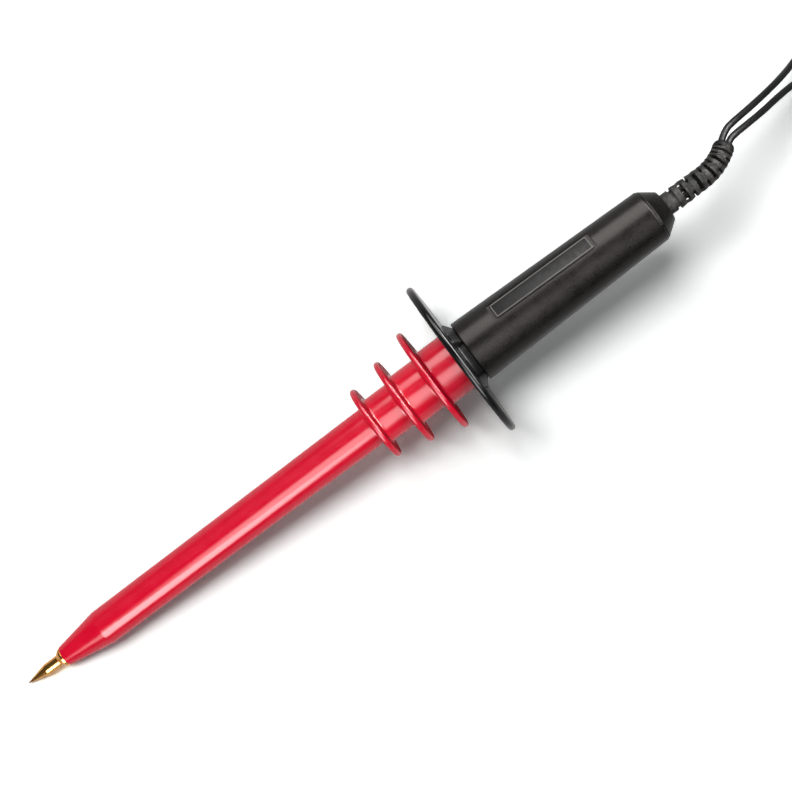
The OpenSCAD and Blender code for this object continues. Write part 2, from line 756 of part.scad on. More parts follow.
module ground_lead() {
    color("#141414") tube(ground_lead_path, lead_r, 8);
}

module signal_coil() {
    echo(signal_coil_gap = least_gap(signal_coil_path, loop_rings / 2) - lead_d);
    color("#101010") tube(signal_coil_path, lead_r, 6);
}

module ground_coil() {
    echo(ground_coil_gap = least_gap(ground_coil_path, loop_rings / 2) - lead_d);
    color("#141414") tube(ground_coil_path, lead_r, 6);
}

// ---- Bayonet plug ----

plug_at = [282, -8, collar_r + slip];
body_s = plug_boot_len + 2;
sleeve_s = body_s + 12;
collar_s = sleeve_s + sleeve_len - collar_len;
seat_s = body_s + 5.5;
groove_s = seat_s + 4.6;
sleeve_base_r = sleeve_r - 0.2;

// Puts a piece drawn upright, with its mating end up, where the plug lies
module on_plug() {
    translate(plug_at) rotate([90, 0, 0]) children();
}

signal_tail_path = concat(smooth([each out_of_coil(signal_coil_path), [279.7, 1.2, 9.4],
    [281.3, -2.5, 8.1], plug_at + [0, lead_d, 0]]), [plug_at, plug_at - [0, body_s - 1.5, 0]]);

module signal_tail() {
    color("#101010") tube(signal_tail_path, lead_r, 8);
}

plug_boot_r = 4.6;
module plug_boot() {
    color("#181818") on_plug() difference() {
        rotate_extrude() polygon([[0, 0], [2.1, 0], [2.4, 0.5], [4.3, plug_boot_len - 4],
            [plug_boot_r, plug_boot_len - 3.4], [plug_boot_r, plug_boot_len], [0, plug_boot_len]]);
        translate([0, 0, -1]) cylinder(r = lead_r + slip, h = plug_boot_len + 2);
        translate([0, 0, 8.2]) cylinder(r = 2.9 + slip, h = plug_boot_len);
        for (k = [0 : 3]) rotate([0, 0, 90 * (k % 2)]) for (x = [-1, 1])
            translate([x * 5 - 3, -4, 1.6 + 1.7 * k]) cube([6, 8, 0.8]);
    }
}

module plug_ferrule() {
    color("silver") on_plug() difference() {
        union() {
            ring(8.4, body_s - slip, 2.9, 0);
            ring(body_s - 1.6, body_s - slip, 3.5, 0);
        }
        translate([0, 0, 8]) cylinder(r = 2.2 + slip, h = body_s);
    }
}

module plug_body() {
    color("silver") on_plug() difference() {
        rotate_extrude() polygon([[0, 11], [2.2, 11], [2.2, body_s], [4.8, body_s], [4.8, seat_s - 0.8],
            [5.2, seat_s - 0.8], [5.2, seat_s], [4.7, seat_s], [4.7, sleeve_s + 1], [0, sleeve_s + 1]]);
        translate([0, 0, 10]) cylinder(r = lead_r + slip, h = 20);
        translate([0, 0, body_s + 4]) cylinder(r = 3.35 + slip, h = sleeve_s);
        translate([0, 0, sleeve_s - 2]) cylinder(r = sleeve_base_r + slip, h = 10);
        ring(groove_s, groove_s + 0.7, 6, 4.3);
    }
}

module plug_insulator() {
    color("white") on_plug() difference() {
        ring(body_s + 4, sleeve_s + 0.5, 3.35, 0);
        translate([0, 0, body_s]) cylinder(r = 1 + slip, h = 20);
    }
}

module plug_pin() {
    color("#d4af37") on_plug() rotate_extrude() polygon([[0, body_s - 1], [1, body_s - 1],
        [1, sleeve_s + 0.8], [pin_r, sleeve_s + 1.1], [pin_r, sleeve_s + 6.5], [0.2, sleeve_s + 7.6],
        [0, sleeve_s + 7.6]]);
}

module plug_sleeve() {
    color("#d8d8d4") on_plug() difference() {
        union() {
            ring(sleeve_s - 2 + slip, sleeve_s + 3, sleeve_base_r, 3.35 + slip);
            ring(sleeve_s + 2.3, sleeve_s + sleeve_len - 1, sleeve_r, 3.35 + slip);
        }
        for (a = [45, 135]) rotate([0, 0, a])
            translate([-6, -0.2, sleeve_s + sleeve_len - 7]) cube([12, 0.4, 8]);
    }
}

module plug_gasket() {
    color("#b33a2a") on_plug() ring(sleeve_s + 1 + slip, sleeve_s + 2.2, 4.7, sleeve_base_r + slip);
}

ring_t = 1.5;
washer_t = 0.3;
module plug_spring_washer() {
    color("silver") on_plug() ring(seat_s + slip, seat_s + slip + washer_t, 6, 4.7 + slip);
}

thrust_s = seat_s + slip + washer_t + collar_travel + 0.05;
module plug_thrust_ring() {
    color("silver") on_plug() ring(thrust_s, thrust_s + ring_t, 6.1, 4.7 + slip);
}

module plug_snap_ring() {
    color("silver") on_plug() difference() {
        ring(groove_s + slip, groove_s + 0.7 - slip, 5.6, 4.3 + slip);
        translate([3, -1, seat_s]) cube([4, 2, 8]);
    }
}

bayonet_r = 6;
lock_angle = 90;
slot_steps = 8;
slot_rise = 2.6;
module plug_collar() {
    front = collar_s + collar_len;
    color("silver") on_plug() difference() {
        rotate_extrude() polygon([[0, collar_s], [collar_r - 0.6, collar_s], [collar_r, collar_s + 0.6],
            [collar_r, front - 9], [collar_r - 0.5, front - 8.5], [collar_r - 0.5, front - 0.4],
            [collar_r - 0.9, front], [0, front]]);
        rotate_extrude() polygon([[0, collar_s - 1], [5.2 + slip, collar_s - 1], [5.2 + slip, seat_s - 0.5],
            [6.1 + slip, seat_s - 0.5], [6.1 + slip, thrust_s + ring_t + slip],
            [4.8, thrust_s + ring_t + slip], [4.8, groove_s - 0.1], [5.9, groove_s - 0.1],
            [5.9, groove_s + 0.9 + collar_travel], [collar_bore_r, groove_s + 0.9 + collar_travel],
            [collar_bore_r, front + 1], [0, front + 1]]);
        for (side = [0, 180]) rotate([0, 0, side]) {
            translate([0, -bayonet_w / 2, front - 4.2]) cube([bayonet_r, bayonet_w, 5]);
            for (k = [0 : slot_steps]) rotate([0, 0, lock_angle * k / slot_steps])
                translate([0, 0, front - 4.2 - slot_rise * k / slot_steps]) rotate([0, 90, 0])
                    cylinder(r = bayonet_w / 2, h = bayonet_r);
            rotate([0, 0, lock_angle]) translate([0, 0, front - 4.2 - slot_rise]) rotate([0, 90, 0])
                cylinder(r = bayonet_w / 2, h = collar_r + 1);
        }
        for (a = [0 : 20 : 340]) rotate([0, 0, a])
            translate([collar_r - 0.25, -0.3, collar_s + 1.5]) cube([2, 0.6, 7]);
    }
}

// ---- Clip ----

cover_t = 0.7;
clip_at = [252, -24, jaw_w / 2 + cover_t + 2 * slip];
crimp_r = lead_r + 0.35;
crimp_y = crimp_r + sheet_t + slip - jaw_h;
inner_half = jaw_w / 2 - sheet_t;
moving_half = inner_half - run_gap;

// Puts a piece, drawn with the jaws along +X, where the clip lies on its side
module on_clip() {
    translate(clip_at) rotate([0, 0, -90]) translate([grip_len, 0, 0]) children();
}

ground_tail_path = concat(smooth([each out_of_coil(ground_coil_path), [239.5, -2.6, 9.5],
    [246.8, -7, 7.2], clip_at + [crimp_y, 8, 0]]),
    [clip_at + [crimp_y, 5, 0], clip_at + [crimp_y, -5, 0]]);

module ground_tail() {
    color("#141414") tube(ground_tail_path, lead_r, 8);
}

// A folded sheet: the walls of a side outline, joined along its back
module channel(half, outline, back) {
    difference() {
        translate([0, 0, -half]) linear_extrude(2 * half) polygon(outline);
        translate([0, back, sheet_t - half]) linear_extrude(2 * (half - sheet_t)) polygon(outline);
    }
}

module tooth_row(x0, x1) {
    step = (x1 - x0) / teeth;
    for (k = [0 : teeth - 1]) translate([x0 + step * k, 0, -10]) linear_extrude(20)
        polygon([[0, -0.9], [step / 2, 0.02], [-step / 2, 0.02]]);
}

module clip_fixed_jaw() {
    ear = 3;
    color("#b8a878") on_clip() difference() {
        union() {
            channel(jaw_w / 2, [[-grip_len, -jaw_h], [ear + 1, -jaw_h], [ear + 1, -0.6], [-ear - 2, -0.6],
                [-grip_len, -1.4]], sheet_t);
            for (side = [-1, 1]) translate([0, 0, side > 0 ? inner_half : -jaw_w / 2])
                cylinder(r = ear, h = sheet_t);
            channel(moving_half, [[ear + 0.6, -jaw_h], [jaw_len - 5, -jaw_h + 1], [jaw_len, -1.6],
                [jaw_len, -0.15], [ear + 0.6, -0.15]], sheet_t);
            translate([ear + 0.6, -jaw_h, -jaw_w / 2]) cube([sheet_t, jaw_h - 0.6, jaw_w]);
        }
        translate([0, 0, -10]) cylinder(r = pivot_r + slip, h = 20);
        translate([0, -0.15, 0]) tooth_row(ear + 4, jaw_len - 0.5);
    }
}

module clip_moving_jaw() {
    ear = 2.6;
    rear_end = [for (y = [3, 0]) let (x = -grip_len - 1)
        [x * cos(grip_angle) + y * sin(grip_angle), y * cos(grip_angle) - x * sin(grip_angle)]];
    color("#b8a878") on_clip() difference() {
        union() {
            channel(moving_half, [[jaw_len, 0.15], [jaw_len, 1.6], [jaw_len - 5, jaw_h - 1], [0.4, jaw_h],
                each rear_end, [-1, tan(grip_angle)], [0.8 * ear, 0.15]], -sheet_t);
            for (side = [-1, 1]) translate([0, 0, side > 0 ? moving_half - sheet_t : -moving_half])
                cylinder(r = ear, h = sheet_t);
        }
        translate([0, 0, -10]) cylinder(r = pivot_r + slip, h = 20);
        translate([0, 0.15, 0]) mirror([0, 1, 0]) tooth_row(ear + 4.4, jaw_len - 0.5);
    }
}

module clip_pin() {
    color("silver") on_clip() {
        translate([0, 0, -jaw_w / 2 - 0.1]) cylinder(r = pivot_r, h = jaw_w + 0.2);
        for (z = [jaw_w / 2 + 0.05, -jaw_w / 2 - 0.75])
            translate([0, 0, z]) cylinder(r = pivot_r + 0.7, h = 0.7);
    }
}

clip_wire_r = 0.3;
clip_spring_r = 1.6;
module clip_spring() {
    steps = clip_spring_turns * 8;
    rise = 1.1;
    path = [for (k = [0 : steps]) [clip_spring_r * cos(45 * k), clip_spring_r * sin(45 * k),
        rise * (k / 8 - clip_spring_turns / 2)]];
    echo(clip_spring_gap = rise - 2 * clip_wire_r);
    color("silver") on_clip() tube(path, clip_wire_r, 6);
}

module clip_fixed_cover() {
    color("#151515") on_clip() difference() {
        translate([-grip_len - 5, -jaw_h - slip - cover_t, -jaw_w / 2 - slip - cover_t])
            cube([grip_len - 3, jaw_h + cover_t + 0.4, jaw_w + 2 * (slip + cover_t)]);
        translate([-grip_len - slip, -jaw_h - slip, -jaw_w / 2 - slip])
            cube([grip_len + 10, jaw_h - 0.3, jaw_w + 2 * slip]);
        translate([-grip_len - 10, crimp_y, 0]) rotate([0, 90, 0]) cylinder(r = lead_r + slip, h = 20);
    }
}

module clip_moving_cover() {
    reach = 10;
    color("#151515") on_clip() rotate([0, 0, -grip_angle]) difference() {
        translate([-grip_len - 2, -cover_t - slip, -moving_half - slip - cover_t])
            cube([reach + 2, jaw_h + 2 * (cover_t + slip) - 0.4, 2 * (moving_half + slip + cover_t)]);
        translate([-grip_len - 1 - slip, -slip, -moving_half - slip])
            cube([reach + 10, jaw_h + 2 * slip - 0.4, 2 * (moving_half + slip)]);
    }
}

module clip_crimp() {
    color("#c8a850") on_clip() translate([-grip_len + 0.6, crimp_y, 0]) rotate([0, 90, 0]) difference() {
        cylinder(r = crimp_r, h = 5);
        translate([0, 0, -1]) cylinder(r = lead_r + slip, h = 7);
    }
}

tip_contact();
tip_insert();
contact_spring();
resistor_rod();
resistor_front_cap();
resistor_rear_cap();
centring_rings();
barrel();
barrel_seal();
finger_guard();
barrel_nut();
handle_shell();
label_plate();
end_cap();
strain_relief();
screen_tube();
circuit_board();
divider_resistor();
trimmer_body();
trimmer_rotor();
capacitors();
input_wire();
cord_clamp();
clamp_screws();
board_screws();
signal_lead();
signal_coil();
signal_tail();
ground_lead();
ground_coil();
ground_tail();
plug_boot();
plug_ferrule();
plug_body();
plug_insulator();
plug_pin();
plug_sleeve();
plug_gasket();
plug_thrust_ring();
plug_spring_washer();
plug_snap_ring();
plug_collar();
clip_fixed_jaw();
clip_moving_jaw();
clip_pin();
clip_spring();
clip_fixed_cover();
clip_moving_cover();
clip_crimp();
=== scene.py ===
# %% [markdown]
# # A high-voltage probe, lying on a bench
# The probe is a long insulating wand. A brass point touches the circuit, a red barrel
# hides the divider resistor, ribs and a finger guard keep the hand away, and a black
# handle holds the adjuster and the two leads. The solid model is loaded first and it
# stays fixed: every piece made below is put where that model says.

# %% Load the solid model
import math

import bmesh
import bpy
from mathutils import Matrix, Vector, geometry


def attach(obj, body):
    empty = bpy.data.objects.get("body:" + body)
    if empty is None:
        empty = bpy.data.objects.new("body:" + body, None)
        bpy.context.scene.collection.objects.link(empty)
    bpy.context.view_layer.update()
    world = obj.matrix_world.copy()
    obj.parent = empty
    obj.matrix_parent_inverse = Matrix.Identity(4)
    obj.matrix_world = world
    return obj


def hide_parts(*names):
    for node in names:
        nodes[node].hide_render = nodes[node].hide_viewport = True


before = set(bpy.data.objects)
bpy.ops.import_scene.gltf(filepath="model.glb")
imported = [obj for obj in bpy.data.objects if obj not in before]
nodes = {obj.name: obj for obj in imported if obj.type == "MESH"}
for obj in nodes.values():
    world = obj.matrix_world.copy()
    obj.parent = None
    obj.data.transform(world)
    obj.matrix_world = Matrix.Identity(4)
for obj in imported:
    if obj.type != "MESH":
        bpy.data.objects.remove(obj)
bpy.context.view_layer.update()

# %% [markdown]
# ## Measures
# A turned or moulded part is easiest to draw upright, as a radius at each distance from
# the point, and to lay down afterwards. These are the same measures that the solids
# have, in millimetres, so nothing has to be fitted by eye. The probe rests on two
# places, the edge of the nose and the rim of the guard, and that gives its tilt.

# %% Measures along the probe
MM = 0.001
point_len, shank_r, flange_s, flange_r, flange_t = 8, 2.05, 13.5, 3.4, 2.4
nose_tip_r, nose_len, nose_r, barrel_r, bore_r = 3.65, 16.8, 6.52, 7.17, 4.6
rib_s, rib_pitch, rib_t = 150.9, 12.1, 2.2
rib_r = (13.9, 16.55, 19.8)
step_r = (8.6, 9.75, 10.8)
guard_r, guard_t, guard_neck_r, guard_neck_len, spigot_r = 30, 2.6, 9.6, 2.7, 7.5
handle_front_r, handle_rear_r, handle_end_s, handle_wall, front_wall = 11.6, 9.75, 267.6, 2.2, 3
cap_len, cap_end_r, cap_spigot_len = 5.4, 5.7, 8.4
slip = 0.05

nose_s = flange_s + flange_t + slip
cone_s = nose_s + nose_len
rib_places = [rib_s + rib_pitch * k for k in range(3)]
guard_s = rib_s + 3 * rib_pitch
guard_front_s, guard_rear_s = guard_s - guard_t / 2, guard_s + guard_t / 2
handle_s = guard_rear_s + guard_neck_len
cap_end_s = handle_end_s + cap_len
taper = math.atan((handle_front_r - handle_rear_r) / (handle_end_s - handle_s))

rest_run, rest_rise = guard_s - cone_s, guard_r - guard_t / 2 - nose_r
tilt = math.atan(rest_rise / rest_run) + math.asin(guard_t / 2 / math.hypot(rest_run, rest_rise))
point_z = nose_r * math.cos(tilt) - cone_s * math.sin(tilt)
middle_x = (cap_end_s * math.cos(tilt) + cap_end_r * math.sin(tilt)) / 2
lay_down = (Matrix.Translation(Vector((-middle_x, 0, point_z)) * MM)
            @ Matrix.Rotation(math.pi / 2 - tilt, 4, "Y"))


def handle_radius(s):
    return handle_front_r - (s - handle_s) * math.tan(taper)


def from_top(degrees):
    """Turns +X of an upright piece to an angle from the probe's top, towards +Y."""
    return Matrix.Rotation(math.radians(180 - degrees), 4, "Z")


print(f"tilt {math.degrees(tilt):.2f} degrees, point {point_z:.2f} mm over the bench")

# %% [markdown]
# ## Camera
# The camera hangs almost straight over the probe, a little nearer to its point, and it
# is turned so that the probe runs from the lower left to the upper right. A long lens
# keeps the ribs and the guard nearly edge-on. Its place and axes are written as numbers,
# because they were found by fitting the known measures of the object to its outline.

# %% Hang the camera
focal_px, picture_px = 1726.8, 792
lens = bpy.data.cameras.new("bench_camera")
lens.sensor_width = 36
lens.lens = lens.sensor_width * focal_px / picture_px
lens.clip_start, lens.clip_end = 0.05, 50
camera = bpy.data.objects.new("bench_camera", lens)
bpy.context.scene.collection.objects.link(camera)
right = Vector((0.797195, -0.60022355, 0.06489861))
up = Vector((0.59768454, 0.79981416, 0.05541212))
forward = Vector((0.08516648, 0.00538537, -0.99635218))
camera.matrix_world = Matrix.Translation((-0.025376, 0, 0.612)) @ Matrix(
    (right, up, -forward)).transposed().to_4x4()
bpy.context.scene.camera = camera
print("field of view:", round(math.degrees(lens.angle), 2))

# %% [markdown]
# ## The two leads
# Two thin leads leave the boot side by side: the signal lead with a bayonet plug, and
# the ground lead with a spring clip. Each is about a metre long. They could be hung
# with a simulation, but a stored lead has a shape that is known: out of the boot, down
# to the bench under its own weight, and round and round in a neat coil. So each route
# is calculated, and one smooth curve with a round section follows it.

# %% Route through the boot
lead_d = 2.4
lead_side = 1.25
relief_straight, relief_bend_r, relief_bend, relief_turn, relief_tip_len = 15, 20, 38, 25, 1.6
relief_arc = relief_bend_r * math.radians(relief_bend)
relief_len = relief_straight + relief_arc + relief_tip_len
bend_way = Vector((math.sin(math.radians(relief_turn)), math.cos(math.radians(relief_turn)), 0))
side_way = Vector((math.cos(math.radians(relief_turn)), -math.sin(math.radians(relief_turn)), 0))


def relief_point(d, x, y):
    """A point of the upright boot, d behind the cap, with its offset carried round the bend."""
    a = min(max((d - relief_straight) / relief_arc, 0), 1) * math.radians(relief_bend)
    over = max(d - relief_straight - relief_arc, 0)
    along = min(d, relief_straight) + relief_bend_r * math.sin(a) + over * math.cos(a)
    out = relief_bend_r * (1 - math.cos(a)) + over * math.sin(a)
    turned = bend_way * math.cos(a) - Vector((0, 0, math.sin(a)))
    offset = Vector((x, y, 0))
    return (Vector((0, 0, cap_end_s + along)) + bend_way * out
            + turned * offset.dot(bend_way) + side_way * offset.dot(side_way))


def laid(p):
    """An upright point in millimetres, in the scene in millimetres."""
    return lay_down @ (p * MM) / MM


lead_start_d = -22.8
inside_d = [lead_start_d, -14, -5, 4, 11, relief_straight, relief_straight + relief_arc / 3,
            relief_straight + relief_arc * 2 / 3, relief_straight + relief_arc, relief_len]


def inside_route(side):
    """The part of a lead that lies in the boot and the handle."""
    return [laid(relief_point(d, 0, side)) for d in inside_d]


# %% [markdown]
# A coil is wound the way a hand winds it: round by round inwards, up by one lead, and
# round by round outwards again. The radius folds back and forth, and the height steps
# up where it turns back, so the turns lie beside and on each other without touching.

# %% Route of a coil
loop_rings, coil_layers, coil_loops = 24, 4, 9
coil_r = 17.1
coil_pitch = lead_d + 0.5
coil_bottom_z = lead_d / 2 + slip
climb_turns = 0.5


def fold(x):
    """Runs from 0 to 1 and back, again and again."""
    m = x - 2 * math.floor(x / 2)
    return m if m < 1 else 2 - m


def climbed(t, per_layer):
    """How many layers a lead has climbed after t turns. Each step takes climb_turns."""
    k = math.floor(t / per_layer + 0.5)
    into = t - k * per_layer
    if k < 1:
        return 0
    if k >= coil_layers:
        return coil_layers - 1
    if abs(into) < climb_turns / 2:
        return k - 1 + (into + climb_turns / 2) / climb_turns
    return k - 1 if into < 0 else k


def coil_path(centre, enter, leave):
    """Winds a coil from one angle round its centre to another."""
    turns = coil_loops + (enter - leave) / 360
    per_layer = turns / coil_layers
    turned = []
    for k in range(int(turns * loop_rings + 1e-6) + 1):
        t = k / loop_rings
        a = math.radians(enter - 360 * t)
        r = coil_r - coil_pitch * per_layer * fold(t / per_layer)
        turned.append(Vector((centre[0] + r * math.cos(a), centre[1] + r * math.sin(a),
                              coil_bottom_z + coil_pitch * climbed(t, per_layer))))
    way_in = Vector((math.sin(math.radians(enter)), -math.cos(math.radians(enter)), 0))
    way_out = Vector((math.sin(math.radians(leave)), -math.cos(math.radians(leave)), 0))
    return [turned[0] - way_in * lead_d] + turned + [turned[-1] + way_out * lead_d]


signal_coil = coil_path((262, 10), 90, 0)
ground_coil = coil_path((226, -18), 38, 83)

# %% [markdown]
# Between the boot and the coil a lead falls in one long bow, and behind the coil a short
# tail rises into the plug or the clip. A few points set each bow, and a point halfway
# between every two of them, on the smooth curve through them all, keeps it round.

# %% Routes from end to end
plug_at = Vector((282, -8, 7.3))
plug_body_s = 18
clip_at = Vector((252, -24, 4.8))
crimp_y = -2.0
signal_points = [(164.8, 7.3, 44.4), (167.8, 8.5, 43.8), (172.2, 9, 42.6), (178.3, 9.4, 39.9),
                 (187.6, 10.2, 34.7), (196.6, 11.2, 28.6), (204.5, 12.4, 22.2), (212, 14, 16.2),
                 (219.5, 15.7, 11), (227.5, 17.4, 6), (236, 19.6, 2.3), (243.5, 22.8, 1.3),
                 (250.5, 25.6, 1.3)]
ground_points = [(166.4, 4.9, 44.2), (170.6, 5.3, 43.2), (176.5, 5.5, 40.9), (184, 5.9, 37),
                 (191, 6.5, 32.4), (197.8, 6.9, 27.2), (204, 7, 21.9), (210.3, 6.6, 16.4),
                 (217, 5.4, 10.9), (224.2, 3.7, 6), (230.7, 1.2, 2.3)]


def smooth(points):
    """The points, and one more halfway between every two of them on a smooth curve."""
    p = [Vector(v) for v in points]
    last = len(p) - 1
    out = []
    for i in range(last):
        a, b, c, d = p[max(i - 1, 0)], p[i], p[i + 1], p[min(i + 2, last)]
        out += [b, (9 * (b + c) - a - d) / 16]
    return out + [p[last]]


def lead_route(side, points, coil, tail):
    """The whole way of a lead: through the boot, down, round the coil, and up its tail."""
    inside = inside_route(side)
    into = coil[0] + (coil[0] - coil[1]).normalized() * lead_d
    out_of = coil[-1] + (coil[-1] - coil[-2]).normalized() * lead_d
    bow = smooth([inside[-1], *points, into])
    end = smooth([coil[-1], out_of, *tail])
    return inside[:-1] + bow + coil[:-1] + end


signal_route = lead_route(lead_side, signal_points, signal_coil, [
    (279.7, 1.2, 9.4), (281.3, -2.5, 8.1), plug_at + Vector((0, lead_d, 0))])
signal_route += [plug_at, plug_at - Vector((0, (plug_body_s - 1.5) / 2, 0)),
                 plug_at - Vector((0, plug_body_s - 1.5, 0))]
ground_route = lead_route(-lead_side, ground_points, ground_coil, [
    (239.5, -2.6, 9.5), (246.8, -7, 7.2), clip_at + Vector((crimp_y, 8, 0))])
ground_route += [clip_at + Vector((crimp_y, 5, 0)), clip_at + Vector((crimp_y, 0, 0)),
                 clip_at + Vector((crimp_y, -5, 0))]


def route_length(route):
    return sum((b - a).length for a, b in zip(route, route[1:])) * MM


print("lead lengths:", round(route_length(signal_route), 3), round(route_length(ground_route), 3))

# %% [markdown]
# ## Turned shapes
# Most pieces of the probe are round about one axis, so they are made as on a lathe: an
# outline is drawn in half and spun. A real edge is never sharp. Each corner of an
# outline has a radius, and the corner becomes a small arc. A pair of points close beside
# each arc holds the flat faces flat, so the light runs straight up to the rounding. An arc
# never takes more than 0.45 of an edge, so that its neighbour has room for one too.

# %% Round the corners of an outline
edge_share, hold_len, straight_enough = 0.45, 0.12, 0.01


def soften(corners, steps=5):
    """Turns (radius, distance, rounding) corners of a closed outline into arcs."""
    out = []
    count = len(corners)
    for i, (r, s, rounding) in enumerate(corners):
        here = Vector((r, s))
        to_last = Vector(corners[i - 1][:2]) - here
        to_next = Vector(corners[(i + 1) % count][:2]) - here
        if rounding <= 0 or to_last.length < 1e-6 or to_next.length < 1e-6:
            out.append(here)
            continue
        a, b = to_last.normalized(), to_next.normalized()
        half = a.angle(b) / 2
        if half < straight_enough or half > math.pi / 2 - straight_enough:
            out.append(here)
            continue
        reach = min(rounding / math.tan(half), to_last.length * edge_share,
                    to_next.length * edge_share)
        radius = reach * math.tan(half)
        centre = here + (a + b).normalized() * (radius / math.sin(half))
        first, last = here + a * reach, here + b * reach
        hold = min(hold_len, reach / 2)
        out.append(first + a * min(hold, to_last.length * 0.05 + 0.01))
        from_a, to_b = first - centre, last - centre
        whole = from_a.angle_signed(to_b)
        for k in range(steps + 1):
            turn = -whole * k / steps
            out.append(centre + Vector((from_a.x * math.cos(turn) - from_a.y * math.sin(turn),
                                        from_a.x * math.sin(turn) + from_a.y * math.cos(turn))))
        out.append(last + b * min(hold, to_next.length * 0.05 + 0.01))
    return out


# %% [markdown]
# A piece starts as an editable mesh and becomes an object. Rings of points are joined by
# faces, several meshes can become one, and modifiers are applied at once, so that every
# shape below is plain geometry in the end.

# %% Helpers for meshes
def new_piece(name, bm, place=Matrix.Identity(4), sharp=50):
    """An object from an editable mesh, smooth except at edges sharper than that angle."""
    mesh = bpy.data.meshes.new(name)
    bm.to_mesh(mesh)
    bm.free()
    mesh.shade_smooth()
    mesh.set_sharp_from_angle(angle=math.radians(sharp))
    piece = bpy.data.objects.new(name, mesh)
    piece.matrix_world = place
    bpy.context.scene.collection.objects.link(piece)
    return piece


def bridge(bm, rings):
    """Faces between each ring of points and the next. A point may stand for a whole ring."""
    for ring, following in zip(rings, rings[1:]):
        for k in range(len(ring)):
            n = (k + 1) % len(ring)
            corners = [ring[k], ring[n], following[n], following[k]]
            face = [v for i, v in enumerate(corners) if v not in corners[:i]]
            if len(face) > 2:
                bm.faces.new(face)


def spin(bm, outline, sides=128):
    """Adds a spun closed outline of (radius, distance) points, in millimetres, to a mesh."""
    rings = []
    for r, s in outline:
        if abs(r) < 1e-4:
            rings.append([bm.verts.new((0, 0, s * MM))] * sides)
        else:
            rings.append([bm.verts.new((r * MM * math.cos(2 * math.pi * k / sides),
                                        r * MM * math.sin(2 * math.pi * k / sides), s * MM))
                          for k in range(sides)])
    bridge(bm, rings + rings[:1])
    return bm


def finish_mesh(bm):
    """Merges points at the same place and turns all faces outwards."""
    bmesh.ops.remove_doubles(bm, verts=bm.verts, dist=1e-7)
    bmesh.ops.recalc_face_normals(bm, faces=bm.faces)
    return bm


def absorb(bm, other):
    """Moves the faces of another mesh into this one."""
    mesh = bpy.data.meshes.new("absorbed")
    other.to_mesh(mesh)
    other.free()
    bm.from_mesh(mesh)
    bpy.data.meshes.remove(mesh)


def round_edges(piece, width, segments, from_deg):
    """Rounds the edges that turn by more than an angle, by a width in millimetres."""
    rounding = piece.modifiers.new("rounding", "BEVEL")
    rounding.width, rounding.segments, rounding.limit_method = width * MM, segments, "ANGLE"
    rounding.angle_limit, rounding.use_clamp_overlap = math.radians(from_deg), True


def apply_modifiers(piece):
    bpy.context.view_layer.update()
    solved = piece.evaluated_get(bpy.context.evaluated_depsgraph_get())
    shape = bpy.data.meshes.new_from_object(solved)
    piece.modifiers.clear()
    piece.data = shape


def paint(piece, *finish_names):
    """Gives a piece its finishes. A face with number 1 takes the second of them."""
    for finish_name in finish_names:
        piece.data.materials.append(finish[finish_name])


def dress(piece, finish_name, sharp):
    """Applies the modifiers and gives the whole piece one finish."""
    apply_modifiers(piece)
    piece.data.set_sharp_from_angle(angle=math.radians(sharp))
    piece.data.materials.clear()
    paint(piece, finish_name)


def stand_in(piece, body, slot, *cad_nodes):
    """A finished piece rides on a body and stands for solids, which it hides. Its slot is not used.
    """
    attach(piece, body)
    if cad_nodes:
        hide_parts(*cad_nodes)
    print(piece.name, "faces:", len(piece.data.polygons))
    return piece


# %% [markdown]
# ## Effects that many finishes share
# A moulded or turned surface is never one flat colour. Its grain, its mottling, the wear
# of its edges and the marks of a tool are the same few effects at different sizes, so
# each is made once as a node group, and every finish sets its own numbers. A group only
# gives out colours, masks and heights. The shader itself stays in each finish.

# %% Helpers for shader nodes
def new_group(name, inputs, outputs):
    """A node group with sockets (name, kind, value) going in and (name, kind) coming out."""
    tree = bpy.data.node_groups.new(name, "ShaderNodeTree")
    for socket, kind, value in inputs:
        made = tree.interface.new_socket(socket, in_out="INPUT", socket_type="NodeSocket" + kind)
        made.default_value = value
    for socket, kind in outputs:
        tree.interface.new_socket(socket, in_out="OUTPUT", socket_type="NodeSocket" + kind)
    return tree, tree.nodes.new("NodeGroupInput"), tree.nodes.new("NodeGroupOutput")


def give_out(tree, out, **results):
    """Links results to the sockets of those names at the end of a group."""
    for name, result in results.items():
        tree.links.new(result, out.inputs[name])


def put(tree, kind, values=(), **settings):
    """Adds a node, with its settings, and its input values or links given as (socket, value)."""
    node = tree.nodes.new(kind)
    for key, value in settings.items():
        setattr(node, key, value)
    for socket, value in values:
        if isinstance(value, bpy.types.NodeSocket):
            tree.links.new(value, node.inputs[socket])
        else:
            node.inputs[socket].default_value = value
    return node


def combine(tree, operation, *values):
    """One number made of two or three others."""
    return put(tree, "ShaderNodeMath", enumerate(values), operation=operation).outputs[0]


def rescale(tree, value, low, high, to_low=0.0, to_high=1.0):
    """Stretches the range low to high over a new one, and holds its ends."""
    steps = enumerate((value, low, high, to_low, to_high))
    return put(tree, "ShaderNodeMapRange", steps).outputs[0]


def blend_numbers(tree, factor, a, b):
    return put(tree, "ShaderNodeMix", [(0, factor), (2, a), (3, b)]).outputs[0]


def blend_colours(tree, factor, a, b):
    return put(tree, "ShaderNodeMix", [(0, factor), (6, a), (7, b)], data_type="RGBA").outputs[2]


def object_place(tree):
    """Where a point of the surface is, in the piece's own measures."""
    return put(tree, "ShaderNodeTexCoord").outputs["Object"]


def noise(tree, place, waves, detail, roughness=0.5):
    """A random pattern. Its waves are counted per metre, as the scene is in metres."""
    return put(tree, "ShaderNodeTexNoise", [("Vector", place), ("Scale", waves), ("Detail", detail),
                                            ("Roughness", roughness)]).outputs[0]


